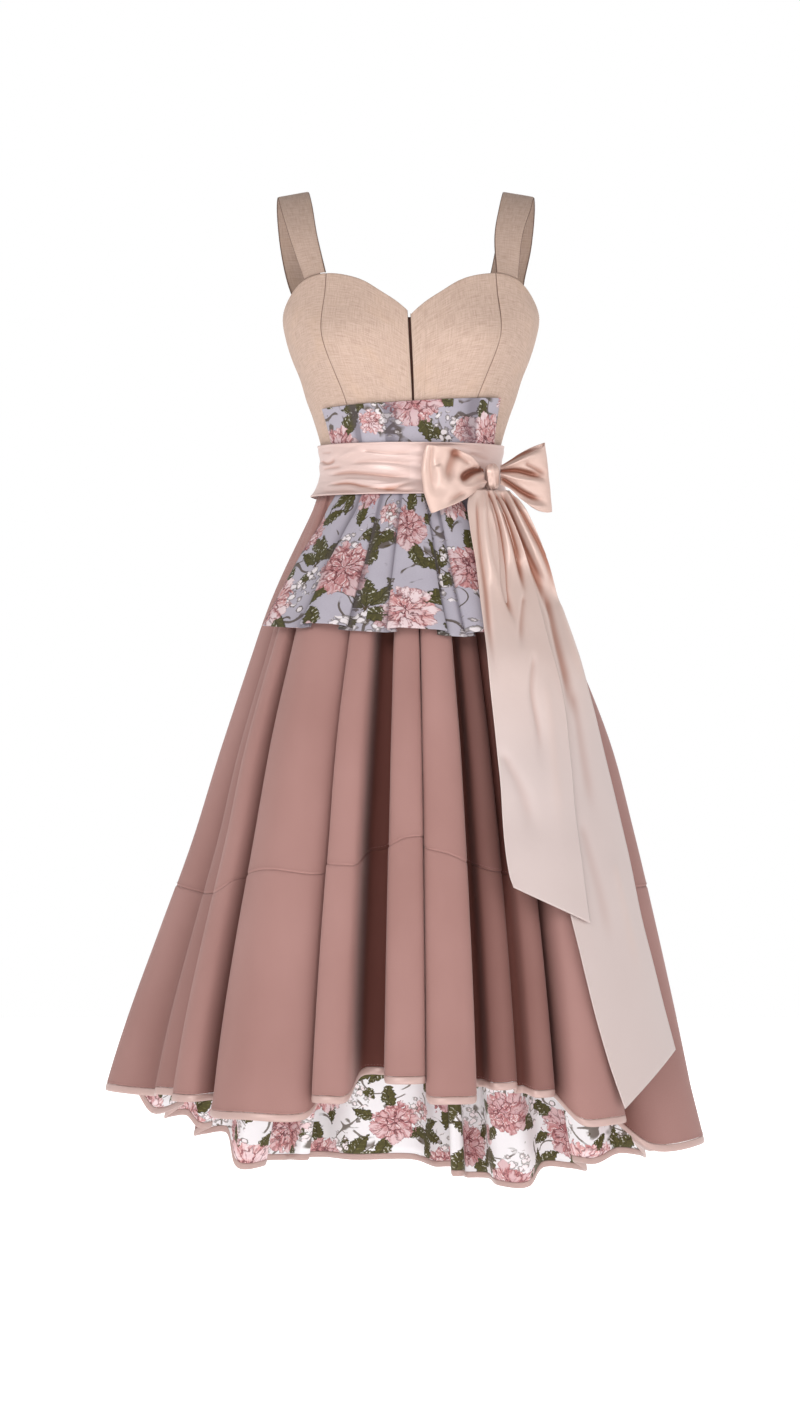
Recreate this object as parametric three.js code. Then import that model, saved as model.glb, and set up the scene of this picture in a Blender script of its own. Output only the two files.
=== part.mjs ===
// A dirndl-style dress in its worn, hollow form: linen bodice on two shoulder straps, a box-pleated
// jacquard peplum held in front by a draped satin sash with a bow, and a full skirt, shorter in front,
// with a lined and bound flounce.
//
// Millimetres, +Z up. The front faces -Y and +X is the wearer's left. The origin lies midway between
// the tops of the two straps, on their undersides, where the shoulders carry the dress.
//
// Round the body a place is given by its turn: the angle in degrees about the Z axis, 0 at the centre
// front, 90 at the wearer's left side, 180 at the centre back and negative on the wearer's right.

import * as THREE from 'three';

const DEG = Math.PI / 180;

// ---------------------------------------------------------------- cloth and seams
const LINEN = 1.6;
const TWILL = 1.5;
const JACQUARD = 1.4;
const SATIN = 1.2;
const LINING = 1.0;
const BINDING = 3.0;
const STRAP = 2.0;
const SEAM = 0.3;

// ---------------------------------------------------------------- levels
const WAIST_Z = -372;
const SASH_TOP_Z = -328;
const SASH_LOW_Z = -393;
const BINDING_TALL = 9;
const BINDING_GAP = 0.7;
const BINDING_OUT = 0.1;

// How square the rounded sections are: 2 is an ellipse.
const SQUARENESS = 2.1;

// A place on the front is searched for between these turns to each side, in this many steps.
const SEARCH = { turn: 88, steps: 30 };

const COLOURS = {
  linen: 0xd4baab,
  placket: 0x5a4038,
  jacquard: 0xc4bcc6,
  satin: 0xe4cdca,
  twill: 0xaf837f,
  lining: 0xe6dee4,
  binding: 0xbea39e,
};

// ---------------------------------------------------------------- tables
const table = (names, rows) =>
  rows.map((row) => Object.fromEntries(names.map((name, index) => [name, row[index]])));

// Half widths and depths of the bodice at each level, measured to its outer face.
const TORSO = table(
  ['z', 'wide', 'front', 'back'],
  [
    [-100, 148, 92, 100],
    [-130, 157, 103, 106],
    [-163, 164, 113, 110],
    [-188, 160, 118, 110],
    [-214, 152, 117, 108],
    [-239, 142, 113, 104],
    [-265, 134, 107, 100],
    [-290, 125, 101, 97],
    [-330, 114, 94, 92],
    [-358, 112, 91, 89],
    [-372, 113, 92, 90],
  ],
);

// The cup darts raise a soft dome on each side of the front.
const CUP = { turn: 36, spread: 21, z: -200, above: 52, below: 62, rise: 20 };

// Level of the bodice's top edge, from the centre front to the centre back.
const TOP_EDGE = table(
  ['turn', 'z'],
  [
    [0, -166],
    [2.5, -161],
    [9, -150],
    [20, -136],
    [32, -122],
    [44, -114],
    [57, -110],
    [63, -111],
    [70, -116],
    [78, -129],
    [86, -148],
    [93, -162],
    [100, -163],
    [112, -154],
    [131, -150],
    [155, -158],
    [180, -165],
  ],
);

// Turn of the princess seam at each level.
const PRINCESS = table(
  ['z', 'turn'],
  [
    [-110, 57],
    [-140, 53],
    [-184, 48.5],
    [-214, 45.5],
    [-241, 44],
    [-275, 43],
    [-372, 46],
  ],
);
const SIDE_SEAM = 92;
const BACK_SEAM = 150;

// The centre-front slit: where its middle lies across the front, and half its width.
const SLIT = table(
  ['z', 'x', 'half'],
  [
    [-150, -2.9, 1.65],
    [-160, -2.7, 1.6],
    [-282, 2.6, 1.0],
    [-330, 2.6, 0.2],
    [-372, 2.6, 0],
  ],
);
const PLACKET = { half: 12, gap: 1.9, drop: 3, columns: 2 };
const BODICE_ROWS = 10;
const PANEL_COLUMNS = { front: 7, sideFront: 5, sideBack: 6, back: 6 };

// Skirt without its folds: half widths to each side, and depths, at each level.
const SKIRT = table(
  ['z', 'left', 'right', 'front', 'back'],
  [
    [-372, 113, 113, 92, 90],
    [-457, 148, 146, 124, 122],
    [-572, 192, 196, 162, 165],
    [-706, 240, 247, 208, 216],
    [-822, 275, 277, 244, 256],
    [-937, 317, 305, 281, 297],
    [-1052, 361, 333, 318, 340],
    [-1130, 388, 352, 343, 368],
    [-1206, 410, 371, 366, 394],
    [-1313, 440, 398, 398, 430],
  ],
);

// The flutes at the hem, right round from the wearer's right side by way of the front. Each has its
// turn, half its width in degrees, its reach beyond the plain skirt and its hem level. After it comes a
// gap: its turn, half its width, how far it sinks inside the plain skirt, and its hem level.
const FLUTES = table(
  ['turn', 'half', 'reach', 'hem', 'gap', 'open', 'sink', 'gapHem'],
  [
    [-78, 14, 3, -1140, -57, 4, 20, -1136],
    [-50.5, 3, -6, -1139, -45.7, 0.8, 52, -1138],
    [-32.5, 10.5, 8, -1153, -20.6, 0.8, 62, -1128],
    [-16.7, 3.4, 6, -1131, -9.3, 2.5, 65, -1104],
    [-1.3, 3.9, 6, -1108, 3, 0.8, 64, -1112],
    [8.1, 4.7, 10, -1131, 15.8, 1.5, 62, -1118],
    [21.5, 3, -33, -1120, 26.2, 0.8, 52, -1126],
    [30.6, 2.6, -27, -1130, 34.3, 0.8, 58, -1131],
    [41.3, 5.8, 8, -1163, 51, 2, 60, -1165],
    [72, 15, 12, -1203, 104, 10, 62, -1228],
    [130, 4.5, 0, -1260, 139, 3, 50, -1272],
    [148.8, 5, 5, -1290, 158, 3, 50, -1314],
    [167.4, 2.2, 5, -1310, 170.3, 0.8, 40, -1303],
    [173.2, 2.2, 5, -1295, 186, 6, 45, -1279],
    [198.5, 2.2, 0, -1279, 202.5, 0.8, 40, -1278],
    [206.6, 2.5, 0, -1281, 215, 3, 50, -1282],
    [222, 4, 0, -1237, 228.5, 1.5, 45, -1222],
    [234, 3.5, -12, -1206, 251, 9, 62, -1183],
  ],
);
const POINTS_PER_FLUTE = 5;

// The hem points that the skirt's two side seams meet, at the wearer's right and left sides.
const RIGHT_SIDE_POINT = 0;
const LEFT_SIDE_POINT = 9 * POINTS_PER_FLUTE + 2;

// No crest of the skirt reaches further than this beyond the plain skirt.
const CREST_REACH = 12;

// How fast the folds open below the waist, how far they fan towards the sides at the waist, and how
// much a crest's shoulders fall away, for each millimetre of its half width.
const FOLD = { full: 760, gain: 1.3, ease: 0.3, fan: 28, shoulder: 0.35 };

// Share of the skirt's length that lies above the flounce seam.
const FLOUNCE_SEAM = table(
  ['turn', 'share'],
  [
    [-180, 0.65],
    [-100, 0.66],
    [-78, 0.668],
    [-50, 0.668],
    [-44, 0.634],
    [-16, 0.63],
    [-9, 0.63],
    [-1, 0.604],
    [8, 0.611],
    [21, 0.65],
    [30, 0.65],
    [41, 0.62],
    [72, 0.617],
    [110, 0.63],
    [180, 0.65],
  ],
);
const COLUMN_STEP = 40;
const SKIRT_ROWS = [0, 0.09, 0.24, 0.46, 0.72, 1];
const FLOUNCE_ROWS = [0, 0.33, 0.67, 1];

// Pleats of the peplum below the sash: turn of each pleat's edge at the hem, and whether the cloth
// steps up onto a pleat there or down from it.
const LOWER_FOLDS = table(
  ['turn', 'step'],
  [
    [-46, 1],
    [-27, -1],
    [-9, 1],
    [13.7, -1],
    [22.5, 1],
    [45, -1],
  ],
);
const LOWER_PEPLUM = {
  start: -72,
  end: 68,
  waistShare: 0.72,
  low: 2.6,
  high: 11,
  waistLift: 0.3,
  clear: 0.8,
  hemLeft: -556,
  hemRight: -580,
  pleatRise: 7,
  flatSteps: 3,
  foldSteps: 8,
  rows: 4,
};

// Pleats of the peplum above the sash.
const UPPER_FOLDS = table(
  ['turn', 'step'],
  [
    [-37, 1],
    [-16.7, -1],
    [41, 1],
  ],
);
const UPPER_PEPLUM = {
  start: -62,
  end: 58,
  waistShareRight: 1.02,
  waistShareLeft: 1.22,
  low: 1.8,
  high: 3.6,
  flare: 2.2,
  topLeft: -281,
  topRight: -268,
  flatSteps: 5,
  foldSteps: 4,
  rows: 3,
};

// One pleat fold, in degrees: its width along the cloth, how far its layers overlap, and the share of
// its width by which it still swings at the waist. A span's end lies just short of the next one.
const PLEAT = { width: 5.2, lap: 3.4, tight: 0.1, nearly: 1e-6 };

// Gap from the bodice or skirt out to the sash's inner face, at the sides and over the peplum.
const SASH_GAP = table(
  ['z', 'side', 'front'],
  [
    [-328, 1.2, 6.0],
    [-350, 1.2, 6.2],
    [-372, 1.6, 7.0],
    [-393, 2.9, 9.6],
  ],
);
const SASH_FOLD = { count: 3.5, height: 2.2, lean: 0.5, frontEnd: 74, sideStart: 92 };
const SASH_COLUMNS = 48;
const SASH_ROWS = 8;

// The bow on the sash.
const KNOT = { turn: 53, wide: 10, deep: 11, tall: 17, z: -368, square: 2.6, seat: 0.36 };
const KNOT_SIDES = 14;
const KNOT_RINGS = 10;
const LOOP = { knotTall: 26, tall: 84, columns: 16, rows: 4 };

// Ribbon tails of the bow: where each one's edges lie across the front at each level. The short tail
// lies over the long one, so it stands further off the skirt.
const SHORT_TAIL = {
  left: table(
    ['z', 'x'],
    [
      [-385.2, 88],
      [-400, 74],
      [-526, 82],
      [-576, 90],
      [-631, 97],
      [-741, 108],
      [-862, 119],
      [-877, 124],
    ],
  ),
  right: table(
    ['z', 'x'],
    [
      [-385.2, 105],
      [-400, 115],
      [-476, 146],
      [-571, 171],
      [-631, 187],
      [-723, 198],
      [-796, 204],
      [-922, 219],
    ],
  ),
  stand: 5.5,
};
const LONG_TAIL = {
  left: table(
    ['z', 'x'],
    [
      [-385.4, 92],
      [-423, 78],
      [-524, 100],
      [-615, 128],
      [-743, 156],
      [-947, 203],
      [-1084, 238],
      [-1145, 259],
    ],
  ),
  right: table(
    ['z', 'x'],
    [
      [-385.4, 109],
      [-423, 139],
      [-472, 166],
      [-524, 185],
      [-574, 204],
      [-664, 231],
      [-743, 249],
      [-836, 271],
      [-947, 294],
      [-1084, 329],
    ],
  ),
  stand: 0,
};

// How far both ribbon tails stand off the skirt's crests: clear of the sash and of the peplum's pleats,
// then close to the skirt.
const TAIL_STAND = table(
  ['z', 'off'],
  [
    [-385, 13.4],
    [-405, 14],
    [-480, 14.5],
    [-560, 18],
    [-600, 19],
    [-700, 7],
    [-900, 4],
    [-1150, 4],
  ],
);

// The knot gathers each tail into pleats, which are gone at a level further down.
const TAIL_PLEAT = { count: 2, height: 2.4, gone: -650 };
const TAIL_ROWS = 16;
const TAIL_COLUMNS = 6;

// The left strap's two edges over the shoulder, between their seams on the bodice. The right strap
// mirrors them, and then both are shifted across.
const STRAP_SHIFT = -6.5;
const STRAP_EDGES = {
  inner: {
    frontTurn: 57,
    backTurn: 131,
    over: [
      [112, -62, -62],
      [119, -34, -20],
      [124, 2, 0],
      [122, 40, -14],
      [116, 72, -65],
      [108, 88, -110],
    ],
  },
  outer: {
    frontTurn: 70,
    backTurn: 112,
    over: [
      [147, -52, -64],
      [159, -28, -25],
      [164, 2, -7],
      [166, 34, -22],
      [162, 58, -66],
      [153, 64, -108],
    ],
  },
};
const STRAP_STEPS = 20;
const STRAP_COLUMNS = 4;

// Share of the strap's length, from each end, in which it takes up the curve of the top edge.
const STRAP_SEAT = 0.2;

// ---------------------------------------------------------------- numbers
const mix = (a, b, share) => a + (b - a) * share;
const clamp = (value, low, high) => Math.min(high, Math.max(low, value));

function smooth(share) {
  const s = clamp(share, 0, 1);
  return s * s * (3 - 2 * s);
}

// A smooth curve through one column of a table, read at a value of its key column.
function profile(rows, key, column, at) {
  const first = rows[0][key];
  const last = rows[rows.length - 1][key];
  const rising = last > first;
  const x = clamp(at, Math.min(first, last), Math.max(first, last));
  let k = 0;
  while (k < rows.length - 2 && (rising ? x > rows[k + 1][key] : x < rows[k + 1][key])) k += 1;
  const slope = (i, j) => (rows[j][column] - rows[i][column]) / (rows[j][key] - rows[i][key]);
  const here = slope(k, k + 1);
  const start = k > 0 ? (slope(k - 1, k) + here) / 2 : here;
  const end = k < rows.length - 2 ? (here + slope(k + 1, k + 2)) / 2 : here;
  const span = rows[k + 1][key] - rows[k][key];
  const s = (x - rows[k][key]) / span;
  const bend = s * (1 - s) * span;
  const rise = mix(rows[k][column], rows[k + 1][column], s);
  return rise + bend * ((1 - s) * (start - here) - s * (end - here));
}

// Radius of a rounded section at a turn, from its half widths and its depths.
function rounded(turn, left, right, front, back) {
  const across = Math.abs(Math.sin(turn * DEG)) / (Math.sin(turn * DEG) < 0 ? left : right);
  const along = Math.abs(Math.cos(turn * DEG)) / (Math.cos(turn * DEG) < 0 ? back : front);
  return (across ** SQUARENESS + along ** SQUARENESS) ** (-1 / SQUARENESS);
}

const around = (turn, radius, z) =>
  new THREE.Vector3(radius * Math.sin(turn * DEG), -radius * Math.cos(turn * DEG), z);

// The turn at which a surface of the given radius lies at x, on the front half.
function turnAt(x, radiusAt) {
  let low = -SEARCH.turn;
  let high = SEARCH.turn;
  for (let step = 0; step < SEARCH.steps; step += 1) {
    const middle = (low + high) / 2;
    if (radiusAt(middle) * Math.sin(middle * DEG) < x) low = middle;
    else high = middle;
  }
  return (low + high) / 2;
}

const range = (from, to, steps) => Array.from({ length: steps + 1 }, (_, i) => mix(from, to, i / steps));

// ---------------------------------------------------------------- walls of cloth
// A wall of cloth over a grid of u and v on a surface. Its outer face stands `out` off the surface and
// its inner face `thick` further in. `up` is -1 where v runs downward, so that out is still outward.
// Each cut edge is drawn back by its trim, along the surface. A closed wall joins its last u to its first.
function wall(name, colour, us, vs, surface, options) {
  const { out = 0, thick, up = 1, closed = false, trim = SEAM / 2 } = options;
  const trims = typeof trim === 'number' ? { u0: trim, u1: trim, v0: trim, v1: trim } : trim;
  const step = 1e-3;
  const along = (u, v, du, dv) =>
    surface(u + du, v + dv).sub(surface(u - du, v - dv)).normalize();
  const outer = [];
  const inner = [];
  vs.forEach((v, row) => {
    us.forEach((u, column) => {
      const acrossU = along(u, v, step, 0);
      const alongV = along(u, v, 0, step);
      const normal = acrossU.clone().cross(alongV).multiplyScalar(up).normalize();
      const point = surface(u, v);
      if (!closed && column === 0) point.addScaledVector(acrossU, trims.u0 ?? 0);
      if (!closed && column === us.length - 1) point.addScaledVector(acrossU, -(trims.u1 ?? 0));
      if (row === 0) point.addScaledVector(alongV, trims.v0 ?? 0);
      if (row === vs.length - 1) point.addScaledVector(alongV, -(trims.v1 ?? 0));
      outer.push(point.clone().addScaledVector(normal, out));
      inner.push(point.clone().addScaledVector(normal, out - thick));
    });
  });
  return solid(name, colour, us.length, vs.length, outer, inner, closed);
}

// One closed body from two grids of points, its outer and inner faces, and the edges between them.
function solid(name, colour, columns, rows, outer, inner, closed) {
  const points = [...outer, ...inner];
  const index = [];
  const quad = (a, b, c, d) => index.push(a, b, c, a, c, d);
  const at = (row, column) => row * columns + (column % columns);
  const back = outer.length;
  const spans = closed ? columns : columns - 1;
  for (let row = 0; row < rows - 1; row += 1) {
    for (let column = 0; column < spans; column += 1) {
      const [a, b] = [at(row, column), at(row, column + 1)];
      const [c, d] = [at(row + 1, column + 1), at(row + 1, column)];
      quad(a, b, c, d);
      quad(back + a, back + d, back + c, back + b);
    }
  }
  for (let column = 0; column < spans; column += 1) {
    const [a, b] = [at(0, column), at(0, column + 1)];
    const [c, d] = [at(rows - 1, column), at(rows - 1, column + 1)];
    quad(a, back + a, back + b, b);
    quad(c, d, back + d, back + c);
  }
  for (let row = 0; row < rows - 1 && !closed; row += 1) {
    const [a, b] = [at(row, 0), at(row + 1, 0)];
    const [c, d] = [at(row, columns - 1), at(row + 1, columns - 1)];
    quad(a, b, back + b, back + a);
    quad(c, back + c, back + d, d);
  }
  return meshOf(name, colour, points, index);
}

function meshOf(name, colour, points, index) {
  const volume = (a, b, c) => points[a].dot(points[b].clone().cross(points[c]));
  let sum = 0;
  for (let i = 0; i < index.length; i += 3) sum += volume(index[i], index[i + 1], index[i + 2]);
  const faces = sum < 0 ? index.slice().reverse() : index;
  const geometry = new THREE.BufferGeometry().setFromPoints(points);
  geometry.setIndex(faces);
  geometry.computeVertexNormals();
  const material = new THREE.MeshStandardMaterial({ color: colour, roughness: 0.8, metalness: 0 });
  const mesh = new THREE.Mesh(geometry, material);
  mesh.name = name;
  return mesh;
}

// ---------------------------------------------------------------- the bodice's form
function torsoRadius(turn, z) {
  const wide = profile(TORSO, 'z', 'wide', z);
  const front = profile(TORSO, 'z', 'front', z);
  const back = profile(TORSO, 'z', 'back', z);
  const level = (z - CUP.z) / (z > CUP.z ? CUP.above : CUP.below);
  const aside = (Math.abs(turn) - CUP.turn) / CUP.spread;
  const cup = CUP.rise * Math.exp(-level * level - aside * aside);
  return rounded(turn, wide, wide, front, back) + cup;
}

const torso = (turn, z) => around(turn, torsoRadius(turn, z), z);

function topEdge(turn) {
  return profile(TOP_EDGE, 'turn', 'z', Math.abs(turn > 180 ? turn - 360 : turn));
}

// The level where a seam meets the top edge.
function seamTop(seam) {
  let z = TOP_EDGE[0].z;
  for (let step = 0; step < SEARCH.steps; step += 1) z = topEdge(seam(z));
  return z;
}

// A panel of the bodice between two seams, each a turn that depends on the level.
function bodicePanel(name, leftSeam, rightSeam, columns) {
  const leftTop = seamTop(leftSeam);
  const rightTop = seamTop(rightSeam);
  const surface = (u, v) => {
    const left = leftSeam(mix(WAIST_Z, leftTop, v));
    const right = rightSeam(mix(WAIST_Z, rightTop, v));
    const top = topEdge(mix(leftSeam(leftTop), rightSeam(rightTop), u));
    return torso(mix(left, right, u), mix(WAIST_Z, top, v));
  };
  const trim = { u0: SEAM / 2, u1: SEAM / 2, v0: SEAM };
  const across = range(0, 1, columns);
  const along = range(0, 1, BODICE_ROWS);
  return wall(name, COLOURS.linen, across, along, surface, { thick: LINEN, trim });
}

const princess = (side) => (z) => side * profile(PRINCESS, 'z', 'turn', z);
const plumb = (turn) => () => turn;

function slitEdge(side) {
  return (z) => {
    const x = profile(SLIT, 'z', 'x', z) + side * profile(SLIT, 'z', 'half', z);
    return turnAt(x, (turn) => torsoRadius(turn, z));
  };
}

function bodice() {
  const { front, sideFront, sideBack, back } = PANEL_COLUMNS;
  return [
    bodicePanel('bodice_front_right', princess(-1), slitEdge(-1), front),
    bodicePanel('bodice_front_left', slitEdge(1), princess(1), front),
    bodicePanel('bodice_side_front_right', plumb(-SIDE_SEAM), princess(-1), sideFront),
    bodicePanel('bodice_side_front_left', princess(1), plumb(SIDE_SEAM), sideFront),
    bodicePanel('bodice_side_back_right', plumb(-BACK_SEAM), plumb(-SIDE_SEAM), sideBack),
    bodicePanel('bodice_side_back_left', plumb(SIDE_SEAM), plumb(BACK_SEAM), sideBack),
    bodicePanel('bodice_back', plumb(BACK_SEAM), plumb(360 - BACK_SEAM), back),
    placket(),
  ];
}

// The closing strip that lies behind the slit.
function placket() {
  const top = TOP_EDGE[0].z - PLACKET.drop;
  const surface = (u, v) => {
    const z = mix(WAIST_Z, top, v);
    const x = profile(SLIT, 'z', 'x', z) + mix(-PLACKET.half, PLACKET.half, u);
    return torso(turnAt(x, (turn) => torsoRadius(turn, z)), z);
  };
  const behind = { out: -LINEN - PLACKET.gap, thick: LINING };
  const across = range(0, 1, PLACKET.columns);
  return wall('front_placket', COLOURS.placket, across, range(0, 1, BODICE_ROWS), surface, behind);
}

// ---------------------------------------------------------------- straps
function strapEdge(edge, side) {
  const seat = (turn) => torso(turn, topEdge(turn));
  const over = edge.over.map(([x, y, z]) => new THREE.Vector3(side * x + STRAP_SHIFT, y, z));
  const ends = [seat(side * edge.frontTurn), seat(side * edge.backTurn)];
  return new THREE.CatmullRomCurve3([ends[0], ...over, ends[1]], false, 'centripetal');
}

function strap(name, side) {
  const inner = strapEdge(STRAP_EDGES.inner, side);
  const outer = strapEdge(STRAP_EDGES.outer, side);
  // Near its two seams the strap takes up the curve of the bodice's top edge.
  const seated = (edge, u, s) => {
    const turn = side * mix(STRAP_EDGES.inner[edge], STRAP_EDGES.outer[edge], u);
    const straight = inner.getPoint(s).lerp(outer.getPoint(s), u);
    return torso(turn, topEdge(turn)).sub(straight);
  };
  const surface = (u, v) => {
    const s = clamp(v, 0, 1);
    const point = inner.getPoint(s).lerp(outer.getPoint(s), u);
    const nearFront = clamp(1 - s / STRAP_SEAT, 0, 1) ** 2;
    const nearBack = clamp(1 - (1 - s) / STRAP_SEAT, 0, 1) ** 2;
    point.addScaledVector(seated('frontTurn', u, 0), nearFront);
    return point.addScaledVector(seated('backTurn', u, 1), nearBack);
  };
  const options = { thick: STRAP, up: side, trim: { v0: SEAM * 2, v1: SEAM * 2 } };
  const across = range(0, 1, STRAP_COLUMNS);
  return wall(name, COLOURS.linen, across, range(0, 1, STRAP_STEPS), surface, { ...options, out: STRAP });
}

// ---------------------------------------------------------------- the skirt's form
function plainRadius(turn, z) {
  const size = (column) => profile(SKIRT, 'z', column, z);
  return rounded(turn, size('left'), size('right'), size('front'), size('back'));
}

// How deep the folds are at a level, as a share of their depth at the hem of the front.
function foldGrowth(z) {
  const drop = (WAIST_Z - z) / FOLD.full;
  return (FOLD.gain * drop) / (drop + FOLD.ease);
}

// The hem's plan: each flute has a crest between two shoulders, and each gap two points.
function hemPoints() {
  const points = [];
  const put = (turn, off, z) => points.push(around(turn, plainRadius(turn, z) + off, z));
  FLUTES.forEach((flute) => {
    const { turn, half, reach, hem, gap, open, sink, gapHem } = flute;
    const shoulder = FOLD.shoulder * half * DEG * plainRadius(turn, hem);
    put(turn - half, reach - shoulder, hem);
    put(turn, reach, hem);
    put(turn + half, reach - shoulder, hem);
    put(gap - open, -sink, gapHem);
    put(gap + open, -sink, gapHem);
  });
  return points;
}

const HEM_POINTS = hemPoints();
const HEM = new THREE.CatmullRomCurve3(HEM_POINTS, true, 'centripetal');

// A point of the folded skirt: u runs round the hem's plan, counted in hem points, and t from the
// waist, 0, to the hem, 1.
function skirtPoint(u, t) {
  const count = HEM_POINTS.length;
  const hem = HEM.getPoint((((u % count) + count) % count) / count);
  const turn = Math.atan2(hem.x, -hem.y) / DEG;
  const slack = Math.hypot(hem.x, hem.y) - plainRadius(turn, hem.z);
  const z = mix(WAIST_Z, hem.z, t);
  const drop = clamp((WAIST_Z - z) / FOLD.full, 0, 1);
  const fanned = turn + FOLD.fan * (1 - drop) * Math.sin(turn * DEG);
  const share = foldGrowth(z) / foldGrowth(hem.z);
  return around(fanned, plainRadius(fanned, z) + slack * share, z);
}

function skirtLine(u) {
  const hem = skirtPoint(u, 1);
  const turn = Math.atan2(hem.x, -hem.y) / DEG;
  return { length: WAIST_Z - hem.z, seam: profile(FLOUNCE_SEAM, 'turn', 'share', turn) };
}

const bindingTop = (u) => 1 - BINDING_TALL / skirtLine(u).length;

// Columns between two hem points, closer where the hem's plan bends.
function columnsBetween(first, last) {
  const columns = [];
  for (let k = first; k < last; k += 1) {
    const chord = skirtPoint(k, 1).distanceTo(skirtPoint(k + 1, 1));
    const steps = Math.max(1, Math.round(chord / COLUMN_STEP));
    for (let i = 0; i < steps; i += 1) columns.push(k + i / steps);
  }
  return [...columns, last];
}

function skirtPieces() {
  const upper = (u, v) => skirtPoint(u, v * skirtLine(u).seam);
  const flounce = (u, v) => skirtPoint(u, mix(skirtLine(u).seam, bindingTop(u), v));
  const binding = (u, v) => skirtPoint(u, mix(bindingTop(u), 1, v));
  const allRound = RIGHT_SIDE_POINT + HEM_POINTS.length;
  const halves = [
    { place: 'front', columns: columnsBetween(RIGHT_SIDE_POINT, LEFT_SIDE_POINT) },
    { place: 'back', columns: columnsBetween(LEFT_SIDE_POINT, allRound) },
  ];
  const insideFlounce = { out: -TWILL - SEAM, thick: LINING, up: -1 };
  const bindingTrim = { u0: SEAM / 2, u1: SEAM / 2, v0: BINDING_GAP };
  const aroundEdge = { out: BINDING_OUT, thick: BINDING, up: -1, trim: bindingTrim };
  return halves.flatMap(({ place, columns }) => [
    wall(`skirt_${place}`, COLOURS.twill, columns, SKIRT_ROWS, upper, { thick: TWILL, up: -1 }),
    wall(`flounce_${place}`, COLOURS.twill, columns, FLOUNCE_ROWS, flounce, { thick: TWILL, up: -1 }),
    wall(`lining_${place}`, COLOURS.lining, columns, FLOUNCE_ROWS, flounce, insideFlounce),
    wall(`hem_binding_${place}`, COLOURS.binding, columns, [0, 1], binding, aroundEdge),
  ]);
}

// The smooth form that just holds every crest of the skirt's folds.
const envelope = (turn, z) => plainRadius(turn, z) + CREST_REACH * foldGrowth(z);

// ---------------------------------------------------------------- the peplum
// Where the pleated cloth lies at u: its turn before it swings into a fold, the swing, and its level,
// 0 between pleats and 1 on them. Even spans of u are flat and odd ones are folds.
function pleated(folds, start, end, u) {
  const span = clamp(Math.floor(u), 0, 2 * folds.length);
  const s = u - span;
  const centre = (fold) => fold.turn + (fold.step * PLEAT.lap) / 2;
  const number = (span - 1) / 2;
  if (span % 2 === 1) {
    const fold = folds[number];
    const turn = centre(fold) + PLEAT.width * (s - 0.5);
    return { turn, swing: Math.sin(2 * Math.PI * s), level: fold.step > 0 ? s : 1 - s };
  }
  const before = folds[span / 2 - 1];
  const after = folds[span / 2];
  const from = before ? centre(before) + PLEAT.width / 2 : start;
  const to = after ? centre(after) - PLEAT.width / 2 : end;
  const level = before ? (before.step > 0 ? 1 : 0) : after.step > 0 ? 0 : 1;
  return { turn: mix(from, to, s), swing: 0, level };
}

// Columns of a pleated wall: a few on each flat, more on each fold.
function pleatColumns(folds, flatSteps, foldSteps) {
  const columns = [];
  for (let span = 0; span <= 2 * folds.length; span += 1) {
    const steps = span % 2 === 1 ? foldSteps : flatSteps;
    for (let i = 0; i < steps; i += 1) columns.push(span + i / steps);
  }
  return [...columns, 2 * folds.length + 1 - PLEAT.nearly];
}

function swingAt(share) {
  return mix(PLEAT.tight * PLEAT.width, PLEAT.lap / 2 + PLEAT.width / 4, share);
}

function lowerPeplum() {
  const { start, end, waistShare, low, high, waistLift, clear, hemLeft, hemRight } = LOWER_PEPLUM;
  const { flatSteps, foldSteps, rows } = LOWER_PEPLUM;
  const surface = (u, v) => {
    const { turn, swing, level } = pleated(LOWER_FOLDS, start, end, u);
    const hem = mix(hemLeft, hemRight, (turn - start) / (end - start)) + LOWER_PEPLUM.pleatRise * level;
    const z = mix(WAIST_Z, hem, v);
    const here = turn * mix(waistShare, 1, v) + swing * swingAt(v);
    const lift = mix(low, high, level) * mix(waistLift, 1, v) + clear + JACQUARD / 2;
    return around(here, envelope(here, z) + lift, z);
  };
  const columns = pleatColumns(LOWER_FOLDS, flatSteps, foldSteps);
  const options = { out: JACQUARD / 2, thick: JACQUARD, up: -1 };
  return wall('peplum_lower', COLOURS.jacquard, columns, range(0, 1, rows), surface, options);
}

function upperPeplum() {
  const { start, end, low, high, flare, topLeft, topRight } = UPPER_PEPLUM;
  const { flatSteps, foldSteps, rows } = UPPER_PEPLUM;
  const surface = (u, v) => {
    const { turn, swing, level } = pleated(UPPER_FOLDS, start, end, u);
    const top = mix(topLeft, topRight, (turn - start) / (end - start));
    const z = mix(WAIST_Z, top, v);
    const waistShare = turn < 0 ? UPPER_PEPLUM.waistShareRight : UPPER_PEPLUM.waistShareLeft;
    const here = turn * mix(waistShare, 1, v) + swing * swingAt(0);
    return around(here, torsoRadius(here, z) + mix(low, high, level) + flare * v * v, z);
  };
  const columns = pleatColumns(UPPER_FOLDS, flatSteps, foldSteps);
  const options = { out: JACQUARD / 2, thick: JACQUARD };
  return wall('peplum_upper', COLOURS.jacquard, columns, range(0, 1, rows), surface, options);
}

// ---------------------------------------------------------------- the sash and its bow
const underSash = (turn, z) => (z > WAIST_Z ? torsoRadius(turn, z) : plainRadius(turn, z));

function sashInner(turn, z) {
  const aside = Math.abs(turn > 180 ? turn - 360 : turn);
  const front = 1 - smooth((aside - SASH_FOLD.frontEnd) / (SASH_FOLD.sideStart - SASH_FOLD.frontEnd));
  const gap = mix(profile(SASH_GAP, 'z', 'side', z), profile(SASH_GAP, 'z', 'front', z), front);
  return underSash(turn, z) + gap;
}

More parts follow.
